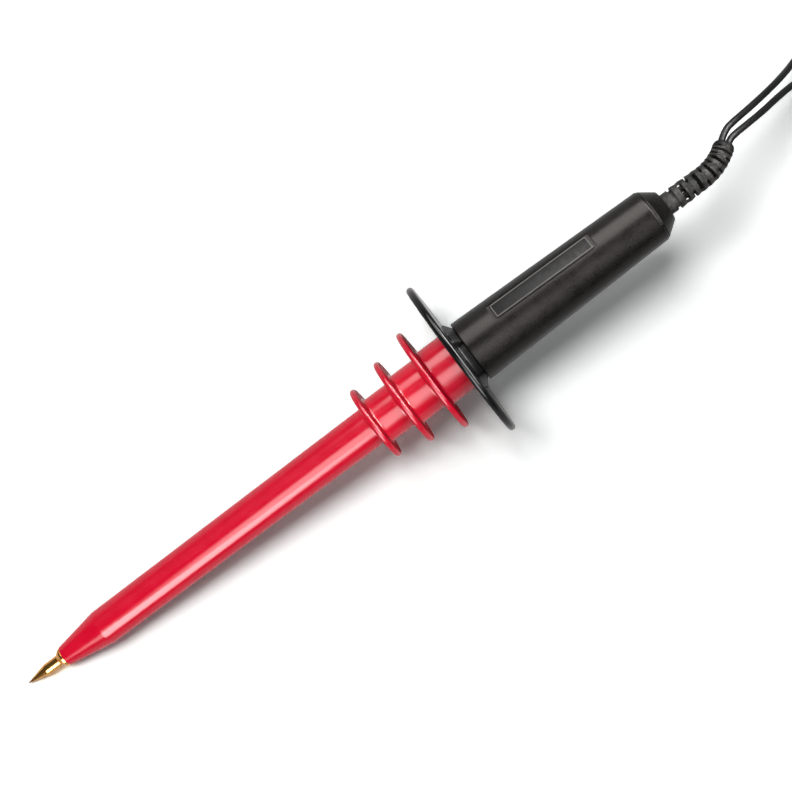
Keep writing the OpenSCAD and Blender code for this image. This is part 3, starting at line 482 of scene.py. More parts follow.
# %% [markdown]
# **Moulded skin.** Plastic out of a mould has a slow waviness, which bends reflections
# like orange peel, a fine grain from the mould's own surface, and a slight mottling of
# its colour and gloss. Three noises of different sizes give the three.

# %% Moulded skin
patch_waves, cloud_waves, stain_waves = 140.0, 90.0, 260.0
skin_group, given, out = new_group(
    "moulded skin",
    [("Colour", "Color", (0.5, 0.5, 0.5, 1)), ("Mottle Colour", "Color", (0.5, 0.5, 0.5, 1)),
     ("Mottle", "Float", 0.5), ("Gloss Loss", "Float", 0.3), ("Gloss Spread", "Float", 0.1),
     ("Peel Size", "Float", 500), ("Peel", "Float", 1.0), ("Grain Size", "Float", 3000),
     ("Grain", "Float", 1.0)],
    [("Colour", "Color"), ("Roughness", "Float"), ("Height", "Float")])
take, place = given.outputs, object_place(skin_group)
peel = noise(skin_group, place, take["Peel Size"], 2.0, 0.45)
grain = noise(skin_group, place, take["Grain Size"], 3.0, 0.6)
patch = rescale(skin_group, noise(skin_group, place, patch_waves, 4.0, 0.6), 0.35, 0.65)
mottled = combine(skin_group, "MULTIPLY", patch, take["Mottle"])
mixed = blend_colours(skin_group, mottled, take["Colour"], take["Mottle Colour"])
uneven = combine(skin_group, "MULTIPLY", patch, rescale(skin_group, grain, 0.3, 0.7))
dulled = combine(skin_group, "MULTIPLY_ADD", uneven, take["Gloss Spread"], take["Gloss Loss"])
peel_height = combine(skin_group, "MULTIPLY", peel, take["Peel"])
height = combine(skin_group, "MULTIPLY_ADD", grain, take["Grain"], peel_height)
give_out(skin_group, out, Colour=mixed, Roughness=dulled, Height=height)

# %% [markdown]
# **Worn edges and dust.** Handling polishes or pales a part where it sticks out, and
# fine dust settles where it doesn't. Pointiness tells a convex edge from a hollow.
# Small specks come from a fine noise of which only the highest peaks are kept.

# %% Worn edges and dust
wear_group, given, out = new_group(
    "edge wear", [("From", "Float", 0.52), ("To", "Float", 0.62), ("Break Up", "Float", 400)],
    [("Mask", "Float")])
take, place = given.outputs, object_place(wear_group)
sharpness = put(wear_group, "ShaderNodeNewGeometry").outputs["Pointiness"]
edge = rescale(wear_group, sharpness, take["From"], take["To"])
broken = rescale(wear_group, noise(wear_group, place, take["Break Up"], 4.0), 0.35, 0.6)
give_out(wear_group, out, Mask=combine(wear_group, "MULTIPLY", edge, broken))

dust_group, given, out = new_group(
    "dust", [("Size", "Float", 1500), ("Amount", "Float", 0.3)], [("Mask", "Float")])
take, place = given.outputs, object_place(dust_group)
speck = rescale(dust_group, noise(dust_group, place, take["Size"], 2.0), 0.62, 0.72)
cloud = rescale(dust_group, noise(dust_group, place, cloud_waves, 3.0), 0.4, 0.65)
specks = combine(dust_group, "MULTIPLY", speck, cloud)
give_out(dust_group, out, Mask=combine(dust_group, "MULTIPLY", specks, take["Amount"]))

# %% [markdown]
# **Tool marks.** A turned metal part carries very fine rings round its axis, and a drawn
# one carries lines along it. Noise stretched strongly in one direction gives both: the
# stretch is a plain vector, so the same group serves an axis in any direction.

# %% Tool marks
tool_group, given, out = new_group(
    "tool marks",
    [("Stretch", "Vector", (1, 1, 30)), ("Size", "Float", 400), ("Gloss Loss", "Float", 0.12),
     ("Gloss Spread", "Float", 0.15), ("Colour", "Color", (0.8, 0.8, 0.8, 1)),
     ("Tarnish Colour", "Color", (0.5, 0.5, 0.5, 1)), ("Tarnish", "Float", 0.3)],
    [("Colour", "Color"), ("Roughness", "Float"), ("Height", "Float")])
take, place = given.outputs, object_place(tool_group)
pulled = put(tool_group, "ShaderNodeVectorMath", [(0, place), (1, take["Stretch"])],
             operation="MULTIPLY").outputs[0]
marks = noise(tool_group, pulled, take["Size"], 3.0, 0.65)
stain = rescale(tool_group, noise(tool_group, place, stain_waves, 5.0, 0.6), 0.45, 0.7)
tarnished = combine(tool_group, "MULTIPLY", stain, take["Tarnish"])
mixed = blend_colours(tool_group, tarnished, take["Colour"], take["Tarnish Colour"])
rough = combine(tool_group, "MULTIPLY_ADD", marks, take["Gloss Spread"], take["Gloss Loss"])
tarnish_dulls = 0.2
dulled = combine(tool_group, "MULTIPLY_ADD", tarnished, tarnish_dulls, rough)
give_out(tool_group, out, Colour=mixed, Roughness=dulled, Height=marks)
print("groups:", [g.name for g in bpy.data.node_groups])

# %% [markdown]
# ## Finishes
# A plastic or rubber finish is the moulded skin, with pale wear on its edges and a
# little dust. Gloss is set by three things: the roughness from the group, the strength
# of the plain reflection, and how deep the grain is.

# %% A maker of plastic and rubber finishes
finish = {}


def colour(red, green, blue):
    """A colour as it looks on a screen, 0 to 255, for a shader."""
    def straight(v):
        v /= 255
        return v / 12.92 if v <= 0.04045 else ((v + 0.055) / 1.055) ** 2.4
    return (straight(red), straight(green), straight(blue), 1)


def paled(shade):
    """A colour as handling leaves it on an edge."""
    return tuple(min(1, c * 2.2 + 0.03) for c in shade[:3]) + (1,)


def start_finish(name):
    made = bpy.data.materials.new(name)
    made.use_nodes = True
    finish[name] = made
    return made.node_tree, made.node_tree.nodes["Principled BSDF"]


def group_in(tree, group, values):
    return put(tree, "ShaderNodeGroup", values.items(), node_tree=group)


def raise_surface(tree, shader, height, depth):
    bump = put(tree, "ShaderNodeBump", [("Height", height), ("Distance", depth), ("Strength", 1.0)])
    tree.links.new(bump.outputs[0], shader.inputs["Normal"])


mottle_share = 0.6
dust_grey = (0.42, 0.4, 0.38, 1)


def moulded(name, base, mottle, gloss_loss, gloss_spread, peel=0.0, peel_size=500, grain=0.5,
            grain_size=3000, depth=0.00002, shine=0.5, wear=0.3, wear_colour=None, dust=0.15,
            edge=(0.53, 0.62), sheen=(1, 1, 1, 1)):
    """A plastic or rubber finish. Sizes are waves per metre, and the depth is in metres."""
    tree, shader = start_finish(name)
    skin = group_in(tree, skin_group, {
        "Colour": base, "Mottle Colour": mottle, "Mottle": mottle_share, "Gloss Loss": gloss_loss,
        "Gloss Spread": gloss_spread, "Peel Size": peel_size, "Peel": peel,
        "Grain Size": grain_size, "Grain": grain})
    worn = group_in(tree, wear_group, {"From": edge[0], "To": edge[1]})
    dusty = group_in(tree, dust_group, {"Amount": dust})
    edge_share = combine(tree, "MULTIPLY", worn.outputs[0], wear)
    with_edges = blend_colours(tree, edge_share, skin.outputs["Colour"], wear_colour or paled(base))
    tree.links.new(blend_colours(tree, dusty.outputs[0], with_edges, dust_grey),
                   shader.inputs["Base Color"])
    tree.links.new(skin.outputs["Roughness"], shader.inputs["Roughness"])
    raise_surface(tree, shader, skin.outputs["Height"], depth)
    shader.inputs["Specular IOR Level"].default_value = shine
    shader.inputs["Specular Tint"].default_value = sheen


# %% [markdown]
# The barrel and the disc of the guard are polished. The handle and the neck of the guard
# have a fine grain, and the boot and the leads are soft rubber with hardly any gloss.

# %% Finishes of the probe and its leads
moulded("barrel_red", colour(203, 5, 41), colour(213, 16, 49), 0.13, 0.05, peel=0.6,
        peel_size=520, grain=0.16, grain_size=2600, depth=0.00001, shine=0.42, wear=0.25, dust=0.03)
# The backs of the ribs: satin, and a darker red that is painted shade.
moulded("rib_rear_shaded_red", colour(176, 6, 34), colour(190, 14, 42), 0.4, 0.1, peel=0.6,
        peel_size=520, grain=0.4, grain_size=2600, shine=0.1, wear=0.2, dust=0.03)
moulded("guard_black", colour(14, 14, 15), colour(21, 21, 21), 0.12, 0.08, peel=0.4,
        peel_size=380, grain=0.3, depth=0.00001, shine=0.22, wear=0.15, dust=0.04)
moulded("neck_black", colour(11, 11, 11), colour(17, 16, 16), 0.45, 0.15, grain=1.0,
        grain_size=2400, depth=0.00003, shine=0.25, dust=0.04)
moulded("handle_black", colour(9, 9, 9), colour(15, 14, 13), 0.26, 0.12, peel=0.5,
        peel_size=900, grain=0.8, grain_size=2400, depth=0.00003, shine=0.22, dust=0.04,
        sheen=(1, 0.92, 0.87, 1))
moulded("plate_black", colour(14, 13, 13), colour(20, 19, 19), 0.36, 0.1, grain=0.4,
        grain_size=4200, depth=0.00001, shine=0.16, wear=0.4, wear_colour=colour(72, 69, 66),
        dust=0.02)
moulded("plate_line", colour(90, 86, 82), colour(70, 67, 64), 0.4, 0.15, grain_size=4200,
        depth=0.00001, shine=0.3, wear=0.2, dust=0.0)
moulded("boot_rubber", colour(13, 13, 13), colour(21, 20, 19), 0.42, 0.2, peel=0.4,
        peel_size=1100, grain=1.0, grain_size=3600, depth=0.00004, shine=0.08, wear=0.5,
        wear_colour=colour(84, 81, 78), dust=0.03, edge=(0.53, 0.6))
# A near-black finish that is painted shade, for the tube inside the boot.
moulded("liner_painted_shade", colour(3, 3, 3), colour(6, 6, 6), 0.6, 0.2, grain=1.0, shine=0.04,
        wear=0.0, dust=0.0)
moulded("lead_rubber", colour(14, 14, 14), colour(23, 22, 22), 0.34, 0.14, peel=0.3,
        peel_size=700, grain=0.8, grain_size=4200, depth=0.00003, shine=0.12, wear=0.0, dust=0.06)
moulded("clip_cover", colour(17, 17, 18), colour(27, 26, 26), 0.38, 0.16, peel=0.5,
        grain=0.9, depth=0.00004, shine=0.14, wear=0.4, dust=0.08)

# %% [markdown]
# The inner pieces are seen only when the handle is off, or in a cut, but they have the
# finishes of their real materials too.

# %% Finishes of the inner pieces
moulded("seal_rubber", colour(26, 26, 26), colour(36, 35, 34), 0.55, 0.15, grain=1.0,
        depth=0.00003, shine=0.3)
moulded("gasket_rubber", colour(150, 40, 28), colour(172, 58, 40), 0.5, 0.15, grain=0.8,
        shine=0.35)
moulded("insulator_white", colour(232, 230, 222), colour(220, 216, 205), 0.35, 0.15,
        depth=0.00001, shine=0.4)
moulded("trimmer_blue", colour(40, 82, 158), colour(56, 98, 172), 0.3, 0.12, depth=0.00001)
moulded("trimmer_white", colour(228, 224, 210), colour(212, 206, 190), 0.35, 0.12,
        depth=0.00001, shine=0.4)
moulded("disc_orange", colour(203, 128, 48), colour(186, 108, 38), 0.32, 0.16, peel=0.6,
        peel_size=900, depth=0.00003)
moulded("wire_red", colour(168, 34, 34), colour(184, 52, 48), 0.35, 0.12, grain=0.6,
        depth=0.00001, shine=0.4)
moulded("ring_grey", colour(52, 52, 54), colour(66, 66, 66), 0.5, 0.15, grain=0.8, shine=0.3)
moulded("resistor_lacquer", colour(198, 164, 120), colour(180, 146, 104), 0.28, 0.14,
        peel=0.6, peel_size=900, grain=0.4)
moulded("ceramic", colour(214, 206, 186), colour(196, 186, 162), 0.5, 0.2, peel=0.8,
        peel_size=1600, grain=1.0, grain_size=5200, depth=0.00003, shine=0.35, wear=0.1, dust=0.1)
print("moulded finishes:", len(finish))

# %% [markdown]
# A metal's colour is its reflection. It stays bright only where the tool marks are fine,
# so its gloss changes with the marks, and tarnish dulls it in soft patches.

# %% Metal finishes
def metal(name, base, tarnish_colour, gloss_loss, gloss_spread, stretch=(1, 1, 30), size=400,
          tarnish=0.3):
    """A metal finish. The stretch says which way the tool marks run."""
    tree, shader = start_finish(name)
    tool = group_in(tree, tool_group, {
        "Stretch": stretch, "Size": size, "Gloss Loss": gloss_loss, "Gloss Spread": gloss_spread,
        "Colour": base, "Tarnish Colour": tarnish_colour, "Tarnish": tarnish})
    tree.links.new(tool.outputs["Colour"], shader.inputs["Base Color"])
    tree.links.new(tool.outputs["Roughness"], shader.inputs["Roughness"])
    raise_surface(tree, shader, tool.outputs["Height"], 0.000004)
    shader.inputs["Metallic"].default_value = 1.0


along_probe, along_plug, no_way = (30, 1, 1), (1, 30, 1), (1, 1, 1)
metal("tip_brass", colour(234, 174, 96), colour(160, 98, 46), 0.1, 0.1, along_probe, tarnish=0.35)
metal("insert_brass", colour(214, 178, 104), colour(140, 104, 60), 0.2, 0.15)
metal("spring_steel", colour(190, 192, 195), colour(130, 130, 132), 0.2, 0.15, no_way, 900)
metal("tinned", colour(202, 200, 192), colour(160, 156, 146), 0.28, 0.2, (1, 1, 4), 600)
metal("screw_steel", colour(196, 197, 200), colour(140, 140, 142), 0.22, 0.15, no_way, 900)
metal("nickel", colour(203, 200, 192), colour(156, 150, 138), 0.24, 0.12, along_plug, 420, 0.25)
metal("nickel_sheet", colour(196, 187, 163), colour(146, 135, 110), 0.3, 0.14, no_way, 500, 0.4)
metal("gold_contact", colour(236, 196, 110), colour(190, 144, 70), 0.1, 0.1, along_plug, 420)
metal("crimp_tin", colour(206, 176, 118), colour(150, 126, 86), 0.24, 0.16, along_plug, 420)

# %% [markdown]
# The circuit board is one of a kind. It shows its green mask over copper tracks, and its
# glass weave through the mask, so it needs a pattern of its own.

# %% Circuit board
tree, shader = start_finish("board_green")
place = object_place(tree)
tracks = put(tree, "ShaderNodeTexBrick", [
    ("Vector", place), ("Scale", 260.0), ("Mortar Size", 0.09), ("Color1", colour(24, 92, 54)),
    ("Color2", colour(28, 104, 60)), ("Mortar", colour(46, 138, 84))])
weave = noise(tree, place, 3200.0, 3.0)
tree.links.new(blend_colours(tree, rescale(tree, weave, 0.35, 0.7, 0.0, 0.4),
                             tracks.outputs["Color"], colour(16, 70, 42)),
               shader.inputs["Base Color"])
tree.links.new(rescale(tree, weave, 0.3, 0.7, 0.22, 0.4), shader.inputs["Roughness"])
raise_surface(tree, shader, tracks.outputs[1], 0.00002)
print("all finishes:", len(finish))

# %% [markdown]
# ## Draw the leads
# A lead is drawn as one curve, whose round section is the curve's own bevel. Between
# two points of the route it follows a cubic, whose handles lie along the mean direction
# of the neighbours, so the bow has no corners. A handle is as long as a curve tool makes
# its automatic ones: the distance to the next point over 2.5614.

# %% Leads
handle_share = 1 / 2.5614


def rounded(route, cuts=3):
    """The route in shorter steps, on one smooth curve through all its points."""
    stops = [2 * route[0] - route[1], *route, 2 * route[-1] - route[-2]]
    ways = [((b - a).normalized() + (c - b).normalized()).normalized() * handle_share
            for a, b, c in zip(stops, stops[1:], stops[2:])]
    out = []
    for a, b, way_a, way_b in zip(route, route[1:], ways, ways[1:]):
        reach = (b - a).length
        handles = a + way_a * reach, b - way_b * reach
        out += geometry.interpolate_bezier(a, *handles, b, cuts + 1)[:-1]
    return out + [route[-1]]


def draw_lead(name, route):
    """One open curve with a round section along a route."""
    data = bpy.data.curves.new(name, "CURVE")
    data.dimensions = "3D"
    data.bevel_depth = lead_d / 2 * MM
    data.bevel_resolution = 5
    data.use_fill_caps = True
    spline = data.splines.new("POLY")
    stops = rounded(route)
    spline.points.add(len(stops) - 1)
    for point, place in zip(spline.points, stops):
        point.co = (*place * MM, 1)
    spline.use_smooth = True
    data.materials.append(finish["lead_rubber"])
    piece = bpy.data.objects.new(name, data)
    bpy.context.scene.collection.objects.link(piece)
    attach(piece, "probe")
    return piece


signal_piece = draw_lead("signal_lead_black", signal_route)
ground_piece = draw_lead("ground_lead_black", ground_route)
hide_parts("signal_lead", "signal_coil", "signal_tail")
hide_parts("ground_lead", "ground_coil", "ground_tail")
print("points:", len(signal_route), len(ground_route))

# %% [markdown]
# ## Contact point
# The point is turned from brass and polished: a sharp cone, a plain shank, and a flange
# with a conical back that seats on the nose. Modelling it by hand with subdivision would
# blur the shoulder between cone and shank, which throws the piece's crispest highlight,
# so it is spun from its outline with very small roundings.

# %% Turn the contact point
flange_back = flange_s + flange_t
blunt_r, flange_edge, stem_r, stem_len = 0.12, 0.8, 1.5, 9
tip_outline = soften([
    (0, 0.05, 0), (blunt_r, 0.02, 0.06), (shank_r, point_len, 0.12), (shank_r, flange_s, 0.15),
    (flange_r, flange_back - flange_edge, 0.22), (flange_r, flange_back, 0.12),
    (stem_r, flange_back, 0), (stem_r, flange_back + stem_len, 0.3),
    (0, flange_back + stem_len, 0)])
tip_mesh = finish_mesh(spin(bmesh.new(), tip_outline, 96))
tip_mesh.transform(lay_down)
tip_piece = new_piece("contact_point_brass", tip_mesh)
paint(tip_piece, "tip_brass")
stand_in(tip_piece, "probe", "gold_brass", "tip_contact")

# %% [markdown]
# ## Barrel
# The barrel is one moulding in glossy red plastic: a conical nose, a long body that
# widens very slowly, and three ribs, each wider than the one before, with a thicker
# stretch of barrel behind each. The ribs have full round rims. At the foot of a rib the
# mould leaves a fillet, and the fillets catch the short bright lines beside the ribs. The
# backs of the ribs are satin, as the mould polishes them least, and their red is painted darker as
# shade.

# %% Mould the barrel
rib_foot, rim_share = 0.9, 0.98
stem_bore_r, nose_wall, insert_r, insert_len, bore_from = 1.6, 1, 2.85, 11, 16
rear_bore_r, rear_bore_cone, barrel_spigot_end_s = 5.4, 4, guard_front_s + 15.7
half_t = rib_t / 2
stretches = [barrel_r, *step_r]
barrel_corners = [(stem_bore_r, nose_s, 0), (nose_tip_r, nose_s, 0.3), (nose_r, cone_s, 0.9)]
for k in range(3):
    front, back, r = rib_places[k] - half_t, rib_places[k] + half_t, rib_r[k]
    barrel_corners += [(stretches[k], front, rib_foot), (r, front, half_t * rim_share),
                       (r, back, half_t * rim_share), (stretches[k + 1], back, rib_foot)]
barrel_corners += [
    (step_r[2], guard_front_s - slip, 0.25), (spigot_r, guard_front_s - slip, 0),
    (spigot_r, barrel_spigot_end_s, 0.3), (rear_bore_r, barrel_spigot_end_s, 0.2),
    (rear_bore_r, guard_front_s, 0), (bore_r, guard_front_s - rear_bore_cone, 0),
    (bore_r, nose_s + bore_from, 0), (insert_r, nose_s + insert_len, 0),
    (insert_r, nose_s + nose_wall, 0), (stem_bore_r, nose_s + nose_wall, 0)]
barrel_mesh = finish_mesh(spin(bmesh.new(), soften(barrel_corners, 7), 160))
# Faces on the backs of the ribs take the second finish: satin, with a darker red painted on as
# shade.
for face in barrel_mesh.faces:
    middle = face.calc_center_median() / MM
    if face.normal.z > 0.9 and middle.xy.length > step_r[2] and middle.z < rib_places[2] + rib_t:
        face.material_index = 1
barrel_mesh.transform(lay_down)
barrel_piece = new_piece("barrel_moulding", barrel_mesh)
paint(barrel_piece, "barrel_red", "rib_rear_shaded_red")
stand_in(barrel_piece, "probe", "red_plastic", "barrel")

# %% [markdown]
# ## Finger guard
# The guard is a wide thin disc in glossy black plastic with a full round rim. A short
# neck joins it to the handle, and four small gussets stiffen the neck. The disc and the
# neck are spun in one piece with a fillet between them, and the gussets are thin blocks
# that sink into both, as ribs in a mould do. Only the disc is polished in the mould, so
# the neck and the gussets get the satin finish of the handle.

# %% Mould the finger guard
gusset_h, gusset_t, gusset_angle = 4.6, 1.0, 26
guard_rim, neck_foot = guard_t / 2 * 0.97, 0.7
guard_corners = [
    (spigot_r + slip, guard_front_s, 0.2), (guard_r, guard_front_s, guard_rim),
    (guard_r, guard_rear_s, guard_rim), (guard_neck_r, guard_rear_s, neck_foot),
    (guard_neck_r, handle_s - slip, 0.15), (spigot_r + slip, handle_s - slip, 0)]
guard_mesh = spin(bmesh.new(), soften(guard_corners, 8), 224)
finish_mesh(guard_mesh)
for face in guard_mesh.faces:
    middle = face.calc_center_median() / MM
    if middle.z > guard_rear_s + 0.2 and middle.xy.length < guard_neck_r + neck_foot:
        face.material_index = 1


def add_gusset(bm, angle):
    """A thin tapering fin from the guard's rear face to the end of the neck."""
    root_r, rim_r, end_s = guard_neck_r - 0.8, guard_neck_r + gusset_h, handle_s - slip
    side = [(root_r, guard_rear_s - 0.5), (rim_r, guard_rear_s - 0.5), (rim_r, guard_rear_s + 0.4),
            (rim_r - 0.3, guard_rear_s + 0.75), (handle_front_r - 0.4, end_s - 0.15),
            (handle_front_r - 0.6, end_s), (root_r, end_s)]
    turn = from_top(angle)
    fin = bmesh.new()
    walls = []
    for y in (-gusset_t / 2, gusset_t / 2):
        walls.append([fin.verts.new(turn @ (Vector((r, y, s)) * MM)) for r, s in side])
    fin.faces.new(walls[0][::-1])
    fin.faces.new(walls[1])
    bridge(fin, walls)
    bmesh.ops.bevel(fin, geom=[e for e in fin.edges if e.calc_face_angle(0) > 0.6],
                    offset=0.16 * MM, segments=3, profile=0.5, affect="EDGES")
    bmesh.ops.recalc_face_normals(fin, faces=fin.faces)
    for face in fin.faces:
        face.material_index = 1
    absorb(bm, fin)


for k in range(4):
    add_gusset(guard_mesh, gusset_angle + 90 * k)
guard_piece = new_piece("finger_guard_moulding", guard_mesh, lay_down, 40)
paint(guard_piece, "guard_black", "neck_black")
stand_in(guard_piece, "probe", "black_gloss", "finger_guard")

# %% [markdown]
# ## Handle
# The handle tapers towards the leads. Its skin has a fine spark-eroded grain, so it is
# satin, not glossy. A long shallow recess holds a bare plate. The shell is spun, and
# the recess is cut out of it with a rounded block, the way its pocket stands in a mould.

# %% Mould the handle's shell
cap_bore_r, spigot_room = handle_rear_r - handle_wall, 4
handle_corners = [
    (spigot_r + slip, handle_s, 0.1), (handle_front_r, handle_s, 0.45),
    (handle_rear_r, handle_end_s, 0.5), (cap_bore_r, handle_end_s, 0),
    (cap_bore_r, handle_end_s - cap_spigot_len - spigot_room, 0),
    (handle_radius(handle_s + front_wall) - handle_wall, handle_s + front_wall, 0),
    (spigot_r + slip, handle_s + front_wall, 0)]
label_inset, label_len, label_w, label_t, label_depth, label_angle = 14, 40, 6.2, 0.5, 0.9, 35
label_mid = handle_s + label_inset + label_len / 2
label_at = Vector((handle_radius(label_mid), 0, label_mid))
on_label = (from_top(label_angle) @ Matrix.Translation(label_at * MM)
            @ Matrix.Rotation(-taper, 4, "Y"))


def rounded_ring(bm, length, width, corner, x):
    """Points of a rectangle with round corners. X is outwards, Z runs along the handle."""
    points = []
    for quarter, (z_way, y_way) in enumerate(((1, 1), (-1, 1), (-1, -1), (1, -1))):
        for k in range(7):
            a = math.radians(90 * quarter + 15 * k)
            y = y_way * (width / 2 - corner) + corner * math.sin(a)
            z = z_way * (length / 2 - corner) + corner * math.cos(a)
            points.append(bm.verts.new(Vector((x, y, z)) * MM))
    return points


def rounded_block(length, width, low, high, corner, soft=0.0):
    """A block with round corners, from one height to another. soft rounds its top edge."""
    bm = bmesh.new()
    levels = [(low, 0), (high, 0)]
    if soft:
        levels = [(low, 0)] + [(high - soft + soft * math.sin(t), soft * (1 - math.cos(t)))
                               for t in (math.radians(30 * k) for k in range(4))]
    rings = [rounded_ring(bm, length - 2 * inward, width - 2 * inward, corner - inward, x)
             for x, inward in levels]
    bm.faces.new(rings[0])
    bm.faces.new(rings[-1][::-1])
    bridge(bm, rings)
    bmesh.ops.recalc_face_normals(bm, faces=bm.faces)
    return bm


def carve(piece, cutter):
    """Cuts one mesh out of another for good, and throws the cutter away."""
    cut = piece.modifiers.new("pocket", "BOOLEAN")
    cut.object, cut.operation, cut.solver = cutter, "DIFFERENCE", "EXACT"
    apply_modifiers(piece)
    bpy.data.objects.remove(cutter)


handle_mesh = finish_mesh(spin(bmesh.new(), soften(handle_corners, 6), 192))
handle_piece = new_piece("handle_moulding", handle_mesh, lay_down)
pocket_mesh = rounded_block(label_len + 2, label_w + 1, -label_depth, 5, 0.8)
carve(handle_piece, new_piece("pocket_cutter", pocket_mesh, lay_down @ on_label))
dress(handle_piece, "handle_black", 35)
stand_in(handle_piece, "probe", "black_satin", "handle_shell")

# %% [markdown]
# The plate in the recess is bare. It is a thin rounded strip with a fine raised frame
# near its edge, rubbed pale by handling, which protects what such a plate may carry.

# %% Cut the plate
plate_top = label_t - 0.12
plate_mesh = rounded_block(label_len, label_w, -label_depth, -label_depth + plate_top, 0.5, 0.1)
frame_out = 0.35
frame_in = frame_out + 0.32
frame_soft, frame_corner, least_corner = 0.08, 0.75, 0.12
frame_mesh = bmesh.new()
frame_rings = [
    rounded_ring(frame_mesh, label_len - 2 * inset, label_w - 2 * inset,
                 max(frame_corner - inset, least_corner), x - label_depth)
    for inset, x in (
        (frame_out, label_t - 0.3), (frame_out, label_t - 0.02), (frame_out + frame_soft, label_t),
        (frame_in - frame_soft, label_t), (frame_in, label_t - 0.02), (frame_in, label_t - 0.3))]
bridge(frame_mesh, frame_rings + frame_rings[:1])
bmesh.ops.recalc_face_normals(frame_mesh, faces=frame_mesh.faces)
for face in frame_mesh.faces:
    face.material_index = 1
absorb(plate_mesh, frame_mesh)
plate_piece = new_piece("recess_plate", plate_mesh, lay_down @ on_label, 40)
paint(plate_piece, "plate_black", "plate_line")
stand_in(plate_piece, "probe", "label", "label_plate")

# %% [markdown]
# ## End cap
# The cap closes the handle with a short cone. It is moulded in the same satin black, and
# the seam between the two shows as a hairline where both edges are slightly rounded. A
# flat shelf on its inner end holds the cord clamp.

# %% Mould the end cap
cap_bore = 3.95
spigot_end_s, seam_s = handle_end_s - cap_spigot_len, handle_end_s + 0.02
cap_corners = [
    (cap_bore, spigot_end_s, 0), (cap_bore_r - 0.05, spigot_end_s, 0.2),
    (cap_bore_r - 0.05, seam_s, 0), (handle_rear_r - 0.04, seam_s, 0.3),
    (cap_end_r, cap_end_s, 0.45), (cap_bore, cap_end_s, 0.25)]
cap_mesh = finish_mesh(spin(bmesh.new(), soften(cap_corners, 6), 128))
shelf_x, shelf_w, shelf_len, shelf_t, shelf_sunk = 2.6, 9.8, 14, 1.6, 1
shelf = bmesh.new()
bmesh.ops.create_cube(shelf, size=1)
for v in shelf.verts:
    v.co = Vector((shelf_x + shelf_t * (v.co.x + 0.5), shelf_w * v.co.y,
                   spigot_end_s - shelf_len + (shelf_len + shelf_sunk) * (v.co.z + 0.5))) * MM
bmesh.ops.bevel(shelf, geom=shelf.edges[:], offset=0.25 * MM, segments=2, profile=0.5,
                affect="EDGES")
absorb(cap_mesh, shelf)
cap_piece = new_piece("end_cap_moulding", cap_mesh, lay_down, 40)
paint(cap_piece, "handle_black")
stand_in(cap_piece, "probe", "black_satin", "end_cap")

# %% [markdown]
# ## Bend relief
# The boot that guards the leads is soft rubber. Behind a plain neck and a groove it is a
# sleeve with slots cut all round, so that it bends a little at every slot and never
# kinks. Webs join the rings across the slots: at the two sides in all of them but the
# second, and at the top and the bottom in every second one. Each ring is slightly
# conical, and the slots get narrower towards the leads. A stack of separate rings would
# not show the webs, so the sleeve is made as one sheet of faces round the bent middle
# line. The faces at the slots are left out, then the sheet is thickened and its edges
# rounded.

# %% Measures of the boot
neck_len, neck_r, neck_sunk, groove_len, groove_depth = 3.0, 3.9, 0.4, 1.3, 0.55
boot_bore_r, boot_front_r, boot_rear_r, boot_dome, boot_wall = 2.7, 4.05, 3.6, 1.3, 1.05
boot_sides, half_round, quarter_round = 96, 48, 24
top_web_half, side_web_half = 7, 4
ring_shares, ring_flare, ring_fall = (0, 0.12, 0.5, 1), 0.14, 0.24
edge_len, apart, last_flare = 0.02, 1e-4, 0.1
first_ring_d = neck_len + groove_len
slots = [(7.4, 1.6), (10.3, 0.9), (13.2, 1.35), (15.9, 0.8), (18.4, 1.15), (20.6, 0.7),
         (22.7, 0.95), (24.5, 0.6), (26.2, 0.8), (27.7, 0.45)]


def boot_radius(d):
    share = max(d - first_ring_d, 0) / (relief_len - first_ring_d)
    return boot_front_r + (boot_rear_r - boot_front_r) * share


def boot_ring(bm, d, r, sides):
    """A ring of points round the boot's middle line, d behind the cap."""
    return [bm.verts.new(relief_point(d, r * math.cos(a), r * math.sin(a)) * MM)
            for a in (2 * math.pi * k / sides for k in range(sides))]


# %% [markdown]
# The sheet is a list of stations, each with its distance behind the cap, its radius, and
# the number of the slot that lies before it, if there is one.

# %% Make the slotted boot
stations = [(-neck_sunk, neck_r, None), (neck_len, neck_r, None),
            (neck_len + edge_len, boot_bore_r + groove_depth, None),
            (first_ring_d - edge_len, boot_bore_r + groove_depth, None)]
ring_start = first_ring_d
for number, (d, width) in enumerate(slots):
    front, rear = d - width / 2, d + width / 2
    for t in ring_shares:
        at = ring_start + (front - ring_start) * t
        stations.append((at, boot_radius(at) + ring_flare - ring_fall * t, None))
    stations.append((rear, boot_radius(rear) + ring_flare, number))
    ring_start = rear + apart
for t in (0.25, 0.6, 1):
    at = ring_start + (relief_len - boot_dome - ring_start) * t
    stations.append((at, boot_radius(at) + last_flare * (1 - t), None))
for a in (math.radians(degrees) for degrees in (20, 40, 60, 80)):
    stations.append((relief_len - boot_dome + boot_dome * math.sin(a),
                     boot_rear_r - boot_dome * (1 - math.cos(a)), None))


def is_web(slot, k):
    """Whether the sheet goes on across a slot at side k of the boot."""
    from_top = min(k % half_round, (-k - 1) % half_round)
    from_side = quarter_round - 1 - from_top
    if slot % 2 == 0:
        return from_side < side_web_half
    return from_top < top_web_half or (slot > 1 and from_side < side_web_half)


